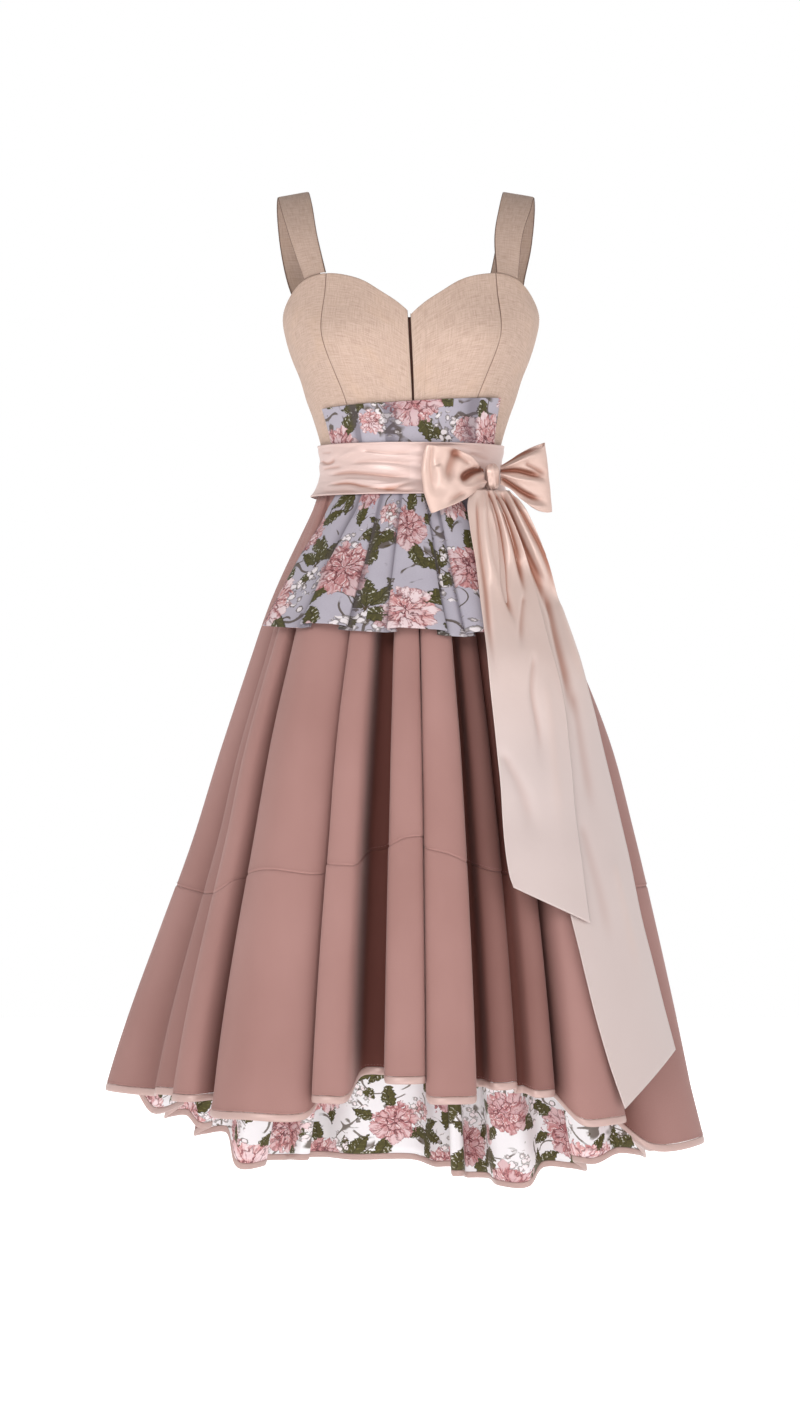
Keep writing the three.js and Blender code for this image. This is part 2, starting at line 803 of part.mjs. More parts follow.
function sashBand() {
  const surface = (turn, v) => {
    const z = mix(SASH_LOW_Z, SASH_TOP_Z, v);
    const wave = SASH_FOLD.count * v + SASH_FOLD.lean * Math.sin(turn * DEG);
    const ridge = SASH_FOLD.height * Math.sin(Math.PI * wave) ** 2;
    return around(turn, sashInner(turn, z) + ridge + SATIN, z);
  };
  const turns = range(0, 360, SASH_COLUMNS).slice(0, -1);
  const options = { thick: SATIN, closed: true, trim: 0 };
  return wall('sash_band', COLOURS.satin, turns, range(0, 1, SASH_ROWS), surface, options);
}

function knotCentre() {
  const seat = sashInner(KNOT.turn, KNOT.z - KNOT.seat * KNOT.tall);
  const radius = seat + SASH_FOLD.height + SATIN + SEAM + KNOT.deep;
  return around(KNOT.turn, radius, KNOT.z);
}

function knot() {
  const centre = knotCentre();
  const geometry = new THREE.SphereGeometry(1, KNOT_SIDES, KNOT_RINGS);
  geometry.deleteAttribute('normal');
  geometry.deleteAttribute('uv');
  const place = geometry.getAttribute('position');
  const key = new Map();
  const points = [];
  const merged = [];
  for (let i = 0; i < place.count; i += 1) {
    const ball = new THREE.Vector3().fromBufferAttribute(place, i);
    const size = Math.abs(ball.x) ** KNOT.square + Math.abs(ball.y) ** KNOT.square
      + Math.abs(ball.z) ** KNOT.square;
    ball.multiplyScalar(size ** (-1 / KNOT.square));
    const label = ball.toArray().map((part) => Math.round(part * 1e5)).join(' ');
    if (!key.has(label)) {
      key.set(label, points.length);
      points.push(new THREE.Vector3(ball.x * KNOT.wide, ball.y * KNOT.deep, ball.z * KNOT.tall).add(centre));
    }
    merged.push(key.get(label));
  }
  const corners = Array.from(geometry.getIndex().array, (corner) => merged[corner]);
  const index = [];
  for (let i = 0; i < corners.length; i += 3) {
    const [a, b, c] = corners.slice(i, i + 3);
    if (a !== b && b !== c && c !== a) index.push(a, b, c);
  }
  return meshOf('bow_knot', COLOURS.satin, points, index);
}

// A loop's path in plan, out from one side of the knot and back to it, and the height of its outer end.
const LOOPS = {
  bow_loop_right: {
    drop: -10,
    path: [
      [-10.6, -8],
      [-30, -34],
      [-58, -50],
      [-80, -50],
      [-78, -41],
      [-52, -36],
      [-28, -20],
      [-10.6, -1],
    ],
  },
  bow_loop_left: {
    drop: -5,
    path: [
      [10.5, -6],
      [32, -10],
      [60, -4],
      [77, 6],
      [74, 17],
      [46, 14],
      [10.5, 4],
    ],
  },
};

function loop(name) {
  const { path, drop } = LOOPS[name];
  const centre = knotCentre();
  const points = path.map(([x, y]) => new THREE.Vector3(centre.x + x, centre.y + y, 0));
  const curve = new THREE.CatmullRomCurve3(points, false, 'centripetal');
  const farthest = Math.max(...path.map(([x]) => Math.abs(x)));
  const surface = (u, v) => {
    const place = curve.getPoint(clamp(u, 0, 1));
    const away = smooth((Math.abs(place.x - centre.x) - KNOT.wide) / (farthest - KNOT.wide));
    const tall = mix(LOOP.knotTall, LOOP.tall, away);
    return new THREE.Vector3(place.x, place.y, KNOT.z + drop * away + tall * (v - 0.5));
  };
  const options = { out: SATIN / 2, thick: SATIN, trim: 0 };
  return wall(name, COLOURS.satin, range(0, 1, LOOP.columns), range(0, 1, LOOP.rows), surface, options);
}

function tail(name, ribbon) {
  const ends = (edge) => [edge[0].z, edge[edge.length - 1].z];
  const surface = (u, v) => {
    const leftZ = mix(...ends(ribbon.left), v);
    const rightZ = mix(...ends(ribbon.right), v);
    const z = mix(leftZ, rightZ, u);
    const x = mix(profile(ribbon.left, 'z', 'x', leftZ), profile(ribbon.right, 'z', 'x', rightZ), u);
    const open = smooth((z - TAIL_PLEAT.gone) / (WAIST_Z - TAIL_PLEAT.gone));
    const pleat = TAIL_PLEAT.height * open * Math.sin(Math.PI * TAIL_PLEAT.count * u) ** 2;
    const off = profile(TAIL_STAND, 'z', 'off', z) + ribbon.stand + pleat;
    const radius = (turn) => envelope(turn, z) + off;
    const turn = turnAt(x, radius);
    return around(turn, radius(turn), z);
  };
  const options = { thick: SATIN, up: -1, trim: 0 };
  const across = range(0, 1, TAIL_COLUMNS);
  return wall(name, COLOURS.satin, across, range(0, 1, TAIL_ROWS), surface, options);
}

// ---------------------------------------------------------------- the dress
const dress = new THREE.Group();
dress.add(
  ...bodice(),
  strap('strap_right', -1),
  strap('strap_left', 1),
  upperPeplum(),
  lowerPeplum(),
  sashBand(),
  knot(),
  ...Object.keys(LOOPS).map(loop),
  tail('sash_tail_short', SHORT_TAIL),
  tail('sash_tail_long', LONG_TAIL),
  ...skirtPieces(),
);

export default dress;
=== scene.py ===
"""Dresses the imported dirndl: fine cloth over every solid, with its weave, print, seams and folds.

Sizes are in millimetres, as in the part's source, until a mesh is made: mesh points are in metres.
Round the body a place is given by its turn, in degrees: 0 at the centre front, 90 at the wearer's left.
"""

import math

import bpy
import numpy as np
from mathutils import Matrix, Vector


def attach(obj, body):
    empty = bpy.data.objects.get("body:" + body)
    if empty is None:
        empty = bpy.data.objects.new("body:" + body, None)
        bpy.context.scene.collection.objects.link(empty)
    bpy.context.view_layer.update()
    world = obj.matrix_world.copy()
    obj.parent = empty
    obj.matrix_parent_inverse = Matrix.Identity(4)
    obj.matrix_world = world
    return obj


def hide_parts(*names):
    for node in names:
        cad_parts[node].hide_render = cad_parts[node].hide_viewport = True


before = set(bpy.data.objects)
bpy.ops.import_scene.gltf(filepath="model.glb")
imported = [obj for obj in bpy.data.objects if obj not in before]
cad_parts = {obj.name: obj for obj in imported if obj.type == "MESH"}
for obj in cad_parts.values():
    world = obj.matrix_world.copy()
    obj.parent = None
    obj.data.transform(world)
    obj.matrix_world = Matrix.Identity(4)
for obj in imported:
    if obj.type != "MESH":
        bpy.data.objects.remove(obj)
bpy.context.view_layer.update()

MM = 0.001
DEG = math.pi / 180

# ------------------------------------------------------------------ sizes shared with the part
# Near the knot the tails and the left loop are a little fuller here than in the part's source.
LINEN, TWILL, JACQUARD, SATIN, LINING, BINDING, STRAP = 1.6, 1.5, 1.4, 1.2, 1.0, 3.0, 2.0
SEAM = 0.3
WAIST_Z = -372
SASH_TOP_Z = -328
SASH_LOW_Z = -393
BINDING_TALL = 9
SQUARENESS = 2.1


def table(names, rows):
    """Columns of a table by name, each an array down its rows."""
    return {name: np.array([row[i] for row in rows], float) for i, name in enumerate(names.split())}


TORSO = table("z wide front back", [
    (-100, 148, 92, 100), (-130, 157, 103, 106), (-163, 164, 113, 110), (-188, 160, 118, 110),
    (-214, 152, 117, 108), (-239, 142, 113, 104), (-265, 134, 107, 100), (-290, 125, 101, 97),
    (-330, 114, 94, 92), (-358, 112, 91, 89), (-372, 113, 92, 90),
])
CUP = {"turn": 36, "spread": 21, "z": -200, "above": 52, "below": 62, "rise": 20}
TOP_EDGE = table("turn z", [
    (0, -166), (2.5, -161), (9, -150), (20, -136), (32, -122), (44, -114), (57, -110), (63, -111),
    (70, -116), (78, -129), (86, -148), (93, -162), (100, -163), (112, -154), (131, -150),
    (155, -158), (180, -165),
])
PRINCESS = table("z turn", [
    (-110, 57), (-140, 53), (-184, 48.5), (-214, 45.5), (-241, 44), (-275, 43), (-372, 46),
])
SIDE_SEAM = 92
BACK_SEAM = 150
SLIT = table("z x half", [
    (-150, -2.9, 1.65), (-160, -2.7, 1.6), (-282, 2.6, 1.0), (-330, 2.6, 0.2), (-372, 2.6, 0),
])
PLACKET_HALF = 12
PLACKET_GAP = 1.9

SKIRT = table("z left right front back", [
    (-372, 113, 113, 92, 90), (-457, 148, 146, 124, 122), (-572, 192, 196, 162, 165),
    (-706, 240, 247, 208, 216), (-822, 275, 277, 244, 256), (-937, 317, 305, 281, 297),
    (-1052, 361, 333, 318, 340), (-1130, 388, 352, 343, 368), (-1206, 410, 371, 366, 394),
    (-1313, 440, 398, 398, 430),
])
FLUTES = table("turn half reach hem gap open sink gap_hem", [
    (-78, 14, 3, -1140, -57, 4, 20, -1136),
    (-50.5, 3, -6, -1139, -45.7, 0.8, 52, -1138),
    (-32.5, 10.5, 8, -1153, -20.6, 0.8, 62, -1128),
    (-16.7, 3.4, 6, -1131, -9.3, 2.5, 65, -1104),
    (-1.3, 3.9, 6, -1108, 3, 0.8, 64, -1112),
    (8.1, 4.7, 10, -1131, 15.8, 1.5, 62, -1118),
    (21.5, 3, -33, -1120, 26.2, 0.8, 52, -1126),
    (30.6, 2.6, -27, -1130, 34.3, 0.8, 58, -1131),
    (41.3, 5.8, 8, -1163, 51, 2, 60, -1165),
    (72, 15, 12, -1203, 104, 10, 62, -1228),
    (130, 4.5, 0, -1260, 139, 3, 50, -1272),
    (148.8, 5, 5, -1290, 158, 3, 50, -1314),
    (167.4, 2.2, 5, -1310, 170.3, 0.8, 40, -1303),
    (173.2, 2.2, 5, -1295, 186, 6, 45, -1279),
    (198.5, 2.2, 0, -1279, 202.5, 0.8, 40, -1278),
    (206.6, 2.5, 0, -1281, 215, 3, 50, -1282),
    (222, 4, 0, -1237, 228.5, 1.5, 45, -1222),
    (234, 3.5, -12, -1206, 251, 9, 62, -1183),
])
LEFT_SIDE_FLUTE = 0
RIGHT_SIDE_FLUTE = 9
POINTS_PER_FLUTE = 5
CREST_REACH = 12
GAP_DEPTH = 60
FOLD = {"full": 760, "gain": 1.3, "ease": 0.3, "fan": 28, "shoulder": 0.35}
FLOUNCE_SEAM = table("turn share", [
    (-180, 0.65), (-100, 0.66), (-78, 0.668), (-50, 0.668), (-44, 0.634), (-16, 0.63), (-9, 0.63),
    (-1, 0.604), (8, 0.611), (21, 0.65), (30, 0.65), (41, 0.62), (72, 0.617), (110, 0.63), (180, 0.65),
])

LOWER_FOLDS = table("turn step", [(-46, 1), (-27, -1), (-9, 1), (13.7, -1), (22.5, 1), (45, -1)])
LOWER_PEPLUM = {
    "start": -72, "end": 68, "waist_share": 0.72, "low": 2.6, "high": 11, "waist_lift": 0.3,
    "clear": 0.8, "hem_left": -556, "hem_right": -580, "pleat_rise": 7,
}
UPPER_FOLDS = table("turn step", [(-37, 1), (-16.7, -1), (41, 1)])
UPPER_PEPLUM = {
    "start": -62, "end": 58, "waist_share_right": 1.02, "waist_share_left": 1.22, "low": 1.8,
    "high": 3.6, "flare": 2.2, "top_left": -281, "top_right": -268,
}
PLEAT = {"width": 5.2, "lap": 3.4}

SASH_GAP = table("z side front", [(-328, 1.2, 6.0), (-350, 1.2, 6.2), (-372, 1.6, 7.0), (-393, 2.9, 9.6)])
SASH_FOLD = {"count": 3.5, "height": 2.2, "lean": 0.5, "front_end": 74, "side_start": 92}
KNOT = {"turn": 53, "wide": 10, "deep": 11, "tall": 17, "z": -368, "square": 2.6, "seat": 0.36}
LOOPS = {
    "bow_loop_right": {"turning": 0.47, "slant": 6, "bow": 8, "up": -1, "path": [
        (-10.6, -8), (-30, -34), (-58, -50), (-80, -50), (-78, -41), (-52, -36), (-28, -20), (-10.6, -1),
    ]},
    "bow_loop_left": {"turning": 0.5, "slant": -9.5, "bow": 0.5, "up": 1, "path": [
        (10.5, -6), (30, -10), (55, -4), (70, 6), (68, 17), (42, 14), (10.5, 4),
    ]},
}
TAILS = {
    "sash_tail_short": {
        "left": table("z x", [
            (-385.2, 76), (-400, 71), (-437, 74), (-474, 80), (-526, 86), (-576, 92), (-631, 97),
            (-741, 108), (-862, 119), (-877, 124),
        ]),
        "right": table("z x", [
            (-385.2, 105), (-400, 115), (-476, 146), (-571, 171), (-631, 187), (-723, 198),
            (-796, 204), (-922, 219),
        ]),
        "stand": 5.5,
    },
    "sash_tail_long": {
        "left": table("z x", [
            (-385.4, 80), (-423, 78), (-524, 100), (-615, 128), (-743, 156), (-947, 203),
            (-1084, 238), (-1145, 259),
        ]),
        "right": table("z x", [
            (-385.4, 124), (-400, 138), (-423, 151), (-472, 171), (-524, 187), (-574, 204), (-664, 231),
            (-743, 249), (-836, 271), (-947, 294), (-1084, 329),
        ]),
        "stand": 0,
    },
}
TAIL_STAND = table("z off", [
    (-385, 13.4), (-405, 14), (-480, 14.5), (-560, 18), (-600, 19), (-700, 7), (-900, 4), (-1150, 4),
])
TAIL_PLEAT = {"count": 2, "height": 2.4, "gone": -650}
# From the knot the tails hang free, then lie on the skirt: how far forward, and how far down.
TAIL_HANG = {"knot": 82, "out": 16, "from": 80, "over": 170, "soft": 14}

STRAP_SHIFT = -6.5
STRAP_SEAT = 0.2
STRAP_EDGES = {
    "inner": {"front": 57, "back": 131, "over": [
        (112, -62, -62), (119, -34, -20), (124, 2, 0), (122, 40, -14), (116, 72, -65), (108, 88, -110),
    ]},
    "outer": {"front": 70, "back": 112, "over": [
        (147, -52, -64), (159, -28, -25), (164, 2, -7), (166, 34, -22), (162, 58, -66), (153, 64, -108),
    ]},
}


# ------------------------------------------------------------------ numbers
# Turns this far to either side still face the front.
FRONT_HALF = 88.0
# How a crease is shaped: by how much its lean widens a side, how wide it is at its start and how much
# wider at its end, and how quickly it begins and fades out.
CREASE = {"lean": 0.6, "start": 0.75, "widen": 0.6, "begun": 0.35, "begins": 7, "fades": 2.4}
# Each span of a crease's course is cut into about this many straight pieces.
COURSE_STEPS = 4


def mix(a, b, share):
    return a + (b - a) * share


def smooth(share):
    s = np.clip(share, 0, 1)
    return s * s * (3 - 2 * s)


def profile(rows, key, column, at):
    """A smooth curve through one column of a table, read at values of its key column."""
    keys, values = rows[key], rows[column]
    if keys[0] > keys[-1]:
        keys, values = keys[::-1], values[::-1]
    x = np.clip(at, keys[0], keys[-1])
    k = np.clip(np.searchsorted(keys, x) - 1, 0, len(keys) - 2)
    slopes = np.diff(values) / np.diff(keys)
    padded = np.concatenate([slopes[:1], slopes, slopes[-1:]])
    at_key = (padded[:-1] + padded[1:]) / 2
    span = keys[k + 1] - keys[k]
    s = (x - keys[k]) / span
    here = slopes[k]
    bend = s * (1 - s) * span
    leaving, arriving = at_key[k] - here, at_key[k + 1] - here
    return mix(values[k], values[k + 1], s) + bend * ((1 - s) * leaving - s * arriving)


def rounded(turn, left, right, front, back):
    """Radius of a rounded section at a turn, from its half widths and its depths."""
    sine, cosine = np.sin(turn * DEG), np.cos(turn * DEG)
    across = np.abs(sine) / np.where(sine < 0, left, right)
    along = np.abs(cosine) / np.where(cosine < 0, back, front)
    return (across ** SQUARENESS + along ** SQUARENESS) ** (-1 / SQUARENESS)


def around(turn, radius, z):
    turn, radius, z = np.broadcast_arrays(turn, radius, z)
    return np.stack([radius * np.sin(turn * DEG), -radius * np.cos(turn * DEG), z], -1)


def turn_of(place):
    return np.arctan2(place[..., 0], -place[..., 1]) / DEG


def turn_at(x, radius_at):
    """The turns at which a surface of the given radius lies at x, on the front half."""
    low = np.full(np.shape(x), -FRONT_HALF)
    high = -low
    for _ in range(30):
        middle = (low + high) / 2
        short = radius_at(middle) * np.sin(middle * DEG) < x
        low, high = np.where(short, middle, low), np.where(short, high, middle)
    return (low + high) / 2


def curve_at(points, s, closed=False):
    """Points of a centripetal curve through the given points, for s counted in points."""
    points = np.asarray(points, float)
    count = len(points)
    if not closed:
        first, last = 2 * points[0] - points[1], 2 * points[-1] - points[-2]
        points = np.vstack([first, points, last])
        k = np.clip(np.floor(s).astype(int), 0, count - 2)
        p = [points[k + i] for i in range(4)]
    else:
        k = np.floor(s).astype(int)
        p = [points[(k + i - 1) % count] for i in range(4)]
    t = np.asarray(s - k)[..., None]
    d0, d1, d2 = (np.sum((p[i + 1] - p[i]) ** 2, -1, keepdims=True) ** 0.25 for i in range(3))
    start = (p[1] - p[0]) / d0 - (p[2] - p[0]) / (d0 + d1) + (p[2] - p[1]) / d1
    end = (p[2] - p[1]) / d1 - (p[3] - p[1]) / (d1 + d2) + (p[3] - p[2]) / d2
    start, end = start * d1, end * d1
    return (p[1] + start * t + (-3 * p[1] + 3 * p[2] - 2 * start - end) * t ** 2
            + (2 * p[1] - 2 * p[2] + start + end) * t ** 3)


def waves(u, v, seed, count=5, across=(1.0, 4.0), along=(0.5, 3.0)):
    """A gentle uneven swell from a few seeded sine waves, between about -1 and 1."""
    draw = np.random.default_rng(seed)
    total = 0.0
    for _ in range(count):
        a, b = draw.uniform(*across), draw.uniform(*along)
        total = total + np.sin(2 * math.pi * (a * u + draw.choice([-1, 1]) * b * v + draw.uniform()))
    return total / count


def creased(place, creases):
    """How far cloth is pressed in by creases seen from the front, and by their like on the far side.

    Each crease has a width, a depth, less than 0 for a ridge, a lean from -1 to 1 that makes one of its
    sides steeper, and a course of points (x, z). It widens along its course and fades out at its end.
    """
    x = np.where(place[..., 1] > 0, -place[..., 0], place[..., 0])
    z = place[..., 2]
    total = np.zeros(x.shape)
    for width, depth, lean, course in creases:
        points = curve_at(course, np.linspace(0, len(course) - 1, COURSE_STEPS * len(course)))
        lengths = np.linalg.norm(np.diff(points, axis=0), axis=-1)
        reached = np.concatenate([[0], np.cumsum(lengths)])
        nearest, share, side = np.full(x.shape, 1e9), np.zeros(x.shape), np.zeros(x.shape)
        for k, (x0, z0) in enumerate(points[:-1]):
            dx, dz = points[k + 1] - points[k]
            s = np.clip(((x - x0) * dx + (z - z0) * dz) / (dx * dx + dz * dz), 0, 1)
            off_x, off_z = x - x0 - s * dx, z - z0 - s * dz
            far = np.hypot(off_x, off_z)
            closer = far < nearest
            nearest = np.where(closer, far, nearest)
            share = np.where(closer, (reached[k] + s * lengths[k]) / reached[-1], share)
            side = np.where(closer, np.sign(dx * off_z - dz * off_x), side)
        wide = width * (1 + CREASE["lean"] * lean * side) * (CREASE["start"] + CREASE["widen"] * share)
        begun = smooth(share * CREASE["begins"] + CREASE["begun"])
        shown = begun * smooth((1 - share) * CREASE["fades"])
        total -= depth * shown * np.exp(-(nearest / wide) ** 2)
    return total


# ------------------------------------------------------------------ forms shared with the part
def torso_radius(turn, z):
    wide = profile(TORSO, "z", "wide", z)
    plain = rounded(turn, wide, wide, profile(TORSO, "z", "front", z), profile(TORSO, "z", "back", z))
    level = (z - CUP["z"]) / np.where(z > CUP["z"], CUP["above"], CUP["below"])
    aside = (np.abs(turn) - CUP["turn"]) / CUP["spread"]
    return plain + CUP["rise"] * np.exp(-level ** 2 - aside ** 2)


def torso(turn, z):
    return around(turn, torso_radius(turn, z), z)


def top_edge(turn):
    return profile(TOP_EDGE, "turn", "z", np.abs(np.where(turn > 180, turn - 360, turn)))


def plain_radius(turn, z):
    size = [profile(SKIRT, "z", column, z) for column in ("left", "right", "front", "back")]
    return rounded(turn, *size)


def fold_growth(z):
    drop = (WAIST_Z - z) / FOLD["full"]
    return FOLD["gain"] * drop / (drop + FOLD["ease"])


def hem_points():
    points = []
    for i in range(len(FLUTES["turn"])):
        f = {name: column[i] for name, column in FLUTES.items()}
        shoulder = FOLD["shoulder"] * f["half"] * DEG * plain_radius(f["turn"], f["hem"])
        places = [
            (f["turn"] - f["half"], f["reach"] - shoulder, f["hem"]),
            (f["turn"], f["reach"], f["hem"]),
            (f["turn"] + f["half"], f["reach"] - shoulder, f["hem"]),
            (f["gap"] - f["open"], -f["sink"], f["gap_hem"]),
            (f["gap"] + f["open"], -f["sink"], f["gap_hem"]),
        ]
        points += [around(turn, plain_radius(turn, z) + off, z) for turn, off, z in places]
    return np.array(points)


HEM_POINTS = hem_points()


def hem_place(u):
    """The hem's point at u, its turn, and how far it stands off the skirt's plain round."""
    hem = curve_at(HEM_POINTS, u, closed=True)
    turn = turn_of(hem)
    return hem, turn, np.hypot(hem[..., 0], hem[..., 1]) - plain_radius(turn, hem[..., 2])


def skirt_point(u, t):
    """A point of the folded skirt: u counts hem points, t runs from the waist, 0, to the hem, 1."""
    hem, turn, slack = hem_place(u)
    z = mix(WAIST_Z, hem[..., 2], t)
    drop = np.clip((WAIST_Z - z) / FOLD["full"], 0, 1)
    fanned = turn + FOLD["fan"] * (1 - drop) * np.sin(turn * DEG)
    share = fold_growth(z) / fold_growth(hem[..., 2])
    return around(fanned, plain_radius(fanned, z) + slack * share, z)


def skirt_length(u):
    return WAIST_Z - skirt_point(u, 1.0)[..., 2]


def skirt_hollow(u, t):
    """How deep in a gap between flutes the cloth lies, from 0 on the flutes to 1: the twill is painted
    darker by it, as shade.
    """
    _, _, slack = hem_place(u)
    return np.clip(-slack / GAP_DEPTH, 0, 1) * smooth(t * 4)


def seam_share(u):
    return profile(FLOUNCE_SEAM, "turn", "share", turn_of(skirt_point(u, 1.0)))


def binding_top(u):
    return 1 - BINDING_TALL / skirt_length(u)


def envelope(turn, z):
    return plain_radius(turn, z) + CREST_REACH * fold_growth(z)


def under_sash(turn, z):
    return np.where(z > WAIST_Z, torso_radius(turn, z), plain_radius(turn, z))


def sash_inner(turn, z):
    aside = np.abs(np.where(turn > 180, turn - 360, turn))
    reach = SASH_FOLD["side_start"] - SASH_FOLD["front_end"]
    front = 1 - smooth((aside - SASH_FOLD["front_end"]) / reach)
    beside, before = (profile(SASH_GAP, "z", column, z) for column in ("side", "front"))
    return under_sash(turn, z) + mix(beside, before, front)


def knot_centre():
    seat = sash_inner(KNOT["turn"], KNOT["z"] - KNOT["seat"] * KNOT["tall"])
    return around(KNOT["turn"], seat + SASH_FOLD["height"] + SATIN + SEAM + KNOT["deep"], KNOT["z"])


# ------------------------------------------------------------------ meshes
# A crease this deep, in millimetres, has a fold value of 1; a ridge's is less than 0. The materials paint
# shade where the fold value is high, and satin a highlight where it is below 0.
FOLD_DEPTH = 3.7
# Where a mesh has lines beside a cut edge, in millimetres from it.
EDGE_LINES = np.array([0, 0.6, 1.3, 2.2, 3.4, 5, 7.5, 11])
# How far cloth is held back at each of its edges.
SEAM_TRIM = dict.fromkeys(("u0", "u1", "v0", "v1"), SEAM / 2)
FREE_END_TRIM = {**SEAM_TRIM, "v0": SEAM, "v1": 0}
NO_TRIM = dict.fromkeys(SEAM_TRIM, 0)


def new_object(name, points, faces, uvs, material, folds=None):
    """A mesh object from points in millimetres, with uvs in metres and a fold value for each point."""
    mesh = bpy.data.meshes.new(name)
    faces = np.asarray(faces)
    mesh.vertices.add(len(points))
    mesh.vertices.foreach_set("co", (np.asarray(points, float) * MM).astype(np.float32).ravel())
    mesh.loops.add(faces.size)
    mesh.loops.foreach_set("vertex_index", faces.ravel().astype(np.int32))
    mesh.polygons.add(len(faces))
    mesh.polygons.foreach_set("loop_start", np.arange(0, faces.size, faces.shape[1], dtype=np.int32))
    layer = mesh.uv_layers.new(name="cloth")
    layer.data.foreach_set("uv", np.asarray(uvs, np.float32)[faces.ravel()].ravel())
    mesh.materials.append(material)
    mesh.update(calc_edges=True)
    mesh.validate()
    if folds is not None:
        mesh.attributes.new("fold", "FLOAT", "POINT").data.foreach_set("value", folds.astype(np.float32))
    mesh.shade_smooth()
    thing = bpy.data.objects.new(name, mesh)
    bpy.context.collection.objects.link(thing)
    return thing


def spaced(count, length, first=True):
    """Steps from 0 to 1 along a length in millimetres, close together near its last end, and its first."""
    near = EDGE_LINES[EDGE_LINES < length / 3] / length
    steps = np.linspace(near[-1] if first else 0, 1 - near[-1], count)
    return np.concatenate([near[:-1] if first else [], steps, (1 - near[:-1])[::-1]])


def unit(directions):
    return directions / np.maximum(np.linalg.norm(directions, axis=-1, keepdims=True), 1e-12)


def grid_normals(surface, u, v, up, step=1e-3):
    along_u = unit(surface(u + step, v) - surface(u - step, v))
    along_v = unit(surface(u, v + step) - surface(u, v - step))
    return unit(np.cross(along_u, along_v)) * up, along_u, along_v


def lengths_along(points, axis=0):
    """How far each point lies along its line from the line's start."""
    steps = np.linalg.norm(np.diff(points, axis=axis), axis=-1)
    start = np.zeros_like(np.take(steps, [0], axis))
    return np.concatenate([start, np.cumsum(steps, axis)], axis)


def cloth(name, surface, us, vs, thick, material, out=0.0, up=1, closed=False, trim=SEAM_TRIM, roll=None,
          relief=None, follow=1.0, creases=(), crease_share=None, hollow=None, uv_start=(0.0, 0.0)):
    """A wall of cloth on a surface, its outer face `out` off it and its inner face `thick` further in.

    relief(u, v) and the creases move the outer face along its normal, and the inner one follows by
    `follow`. roll draws cut edges inward, each by a depth over a width. hollow(u, v) is the fold value,
    which the creases give where it is left out.
    """
    u, v = np.meshgrid(np.asarray(us, float), np.asarray(vs, float))
    normal, along_u, along_v = grid_normals(surface, u, v, up)
    place = surface(u, v)
    pressed = creased(place, creases)
    share = crease_share(u, v) if crease_share else 1.0
    lift = (relief(u, v) if relief else 0.0) + pressed * share
    far_u, far_v = lengths_along(place, 1), lengths_along(place, 0)
    edges = {"u0": far_u, "u1": far_u[:, -1:] - far_u, "v0": far_v, "v1": far_v[-1:] - far_v}
    for edge, (depth, width) in (roll or {}).items():
        lift = lift - depth * np.exp(-(edges[edge] / width) ** 2)
    if not closed:
        place[:, 0] += along_u[:, 0] * trim["u0"]
        place[:, -1] -= along_u[:, -1] * trim["u1"]
    place[0] += along_v[0] * trim["v0"]
    place[-1] -= along_v[-1] * trim["v1"]
    outer = place + normal * (out + lift)[..., None]
    inner = place + normal * (out - thick + lift * follow)[..., None]
    across, down = far_u[len(u) // 2], far_v[:, u.shape[1] // 2]
    across = (across - across[-1] / 2) * MM + uv_start[0]
    uv = np.stack(np.meshgrid(across, down * MM + uv_start[1]), -1).reshape(-1, 2)
    # The fold value sets where the materials paint shade, and on satin ridges a painted highlight.
    fold = hollow(u, v) if hollow else -pressed / FOLD_DEPTH
    return shell(name, outer, inner, closed, uv, material, fold)


def grid(rows, columns, closed):
    """The numbers of a grid's points, and of those at the four corners of its faces."""
    index = np.arange(rows * columns).reshape(rows, columns)
    if closed:
        index = np.concatenate([index, index[:, :1]], 1)
    return index, (index[:-1, :-1], index[:-1, 1:], index[1:, 1:], index[1:, :-1])


def faces_of(*corners):
    return np.stack([corner.ravel() for corner in corners], -1)


def shell(name, outer, inner, closed, uv, material, fold):
    """One closed body between two grids of points."""
    rows, columns = outer.shape[:2]
    index, (a, b, c, d) = grid(rows, columns, closed)
    back = rows * columns
    rims = [(index[0], False), (index[-1], True)]
    if not closed:
        rims += [(index[:, 0], True), (index[:, -1], False)]
    quads = [faces_of(a, b, c, d), faces_of(a, d, c, b) + back]
    for line, reverse in rims:
        quad = [line[:-1], line[:-1] + back, line[1:] + back, line[1:]]
        quads.append(faces_of(*(quad[::-1] if reverse else quad)))
    quads = np.concatenate(quads)
    points = np.concatenate([outer.reshape(-1, 3), inner.reshape(-1, 3)])
    corners = [points[quads[:, i]] for i in range(3)]
    if np.sum(corners[0] * np.cross(corners[1], corners[2])) < 0:
        quads = quads[:, ::-1]
    return new_object(name, points, quads, np.concatenate([uv, uv]), material, np.tile(fold.ravel(), 2))


# ------------------------------------------------------------------ shader fields
def feed(tree, socket, value):
    """Sets a socket to a number, or joins a field to it."""
    if isinstance(value, Field):
        tree.links.new(value.socket, socket)
    else:
        socket.default_value = value


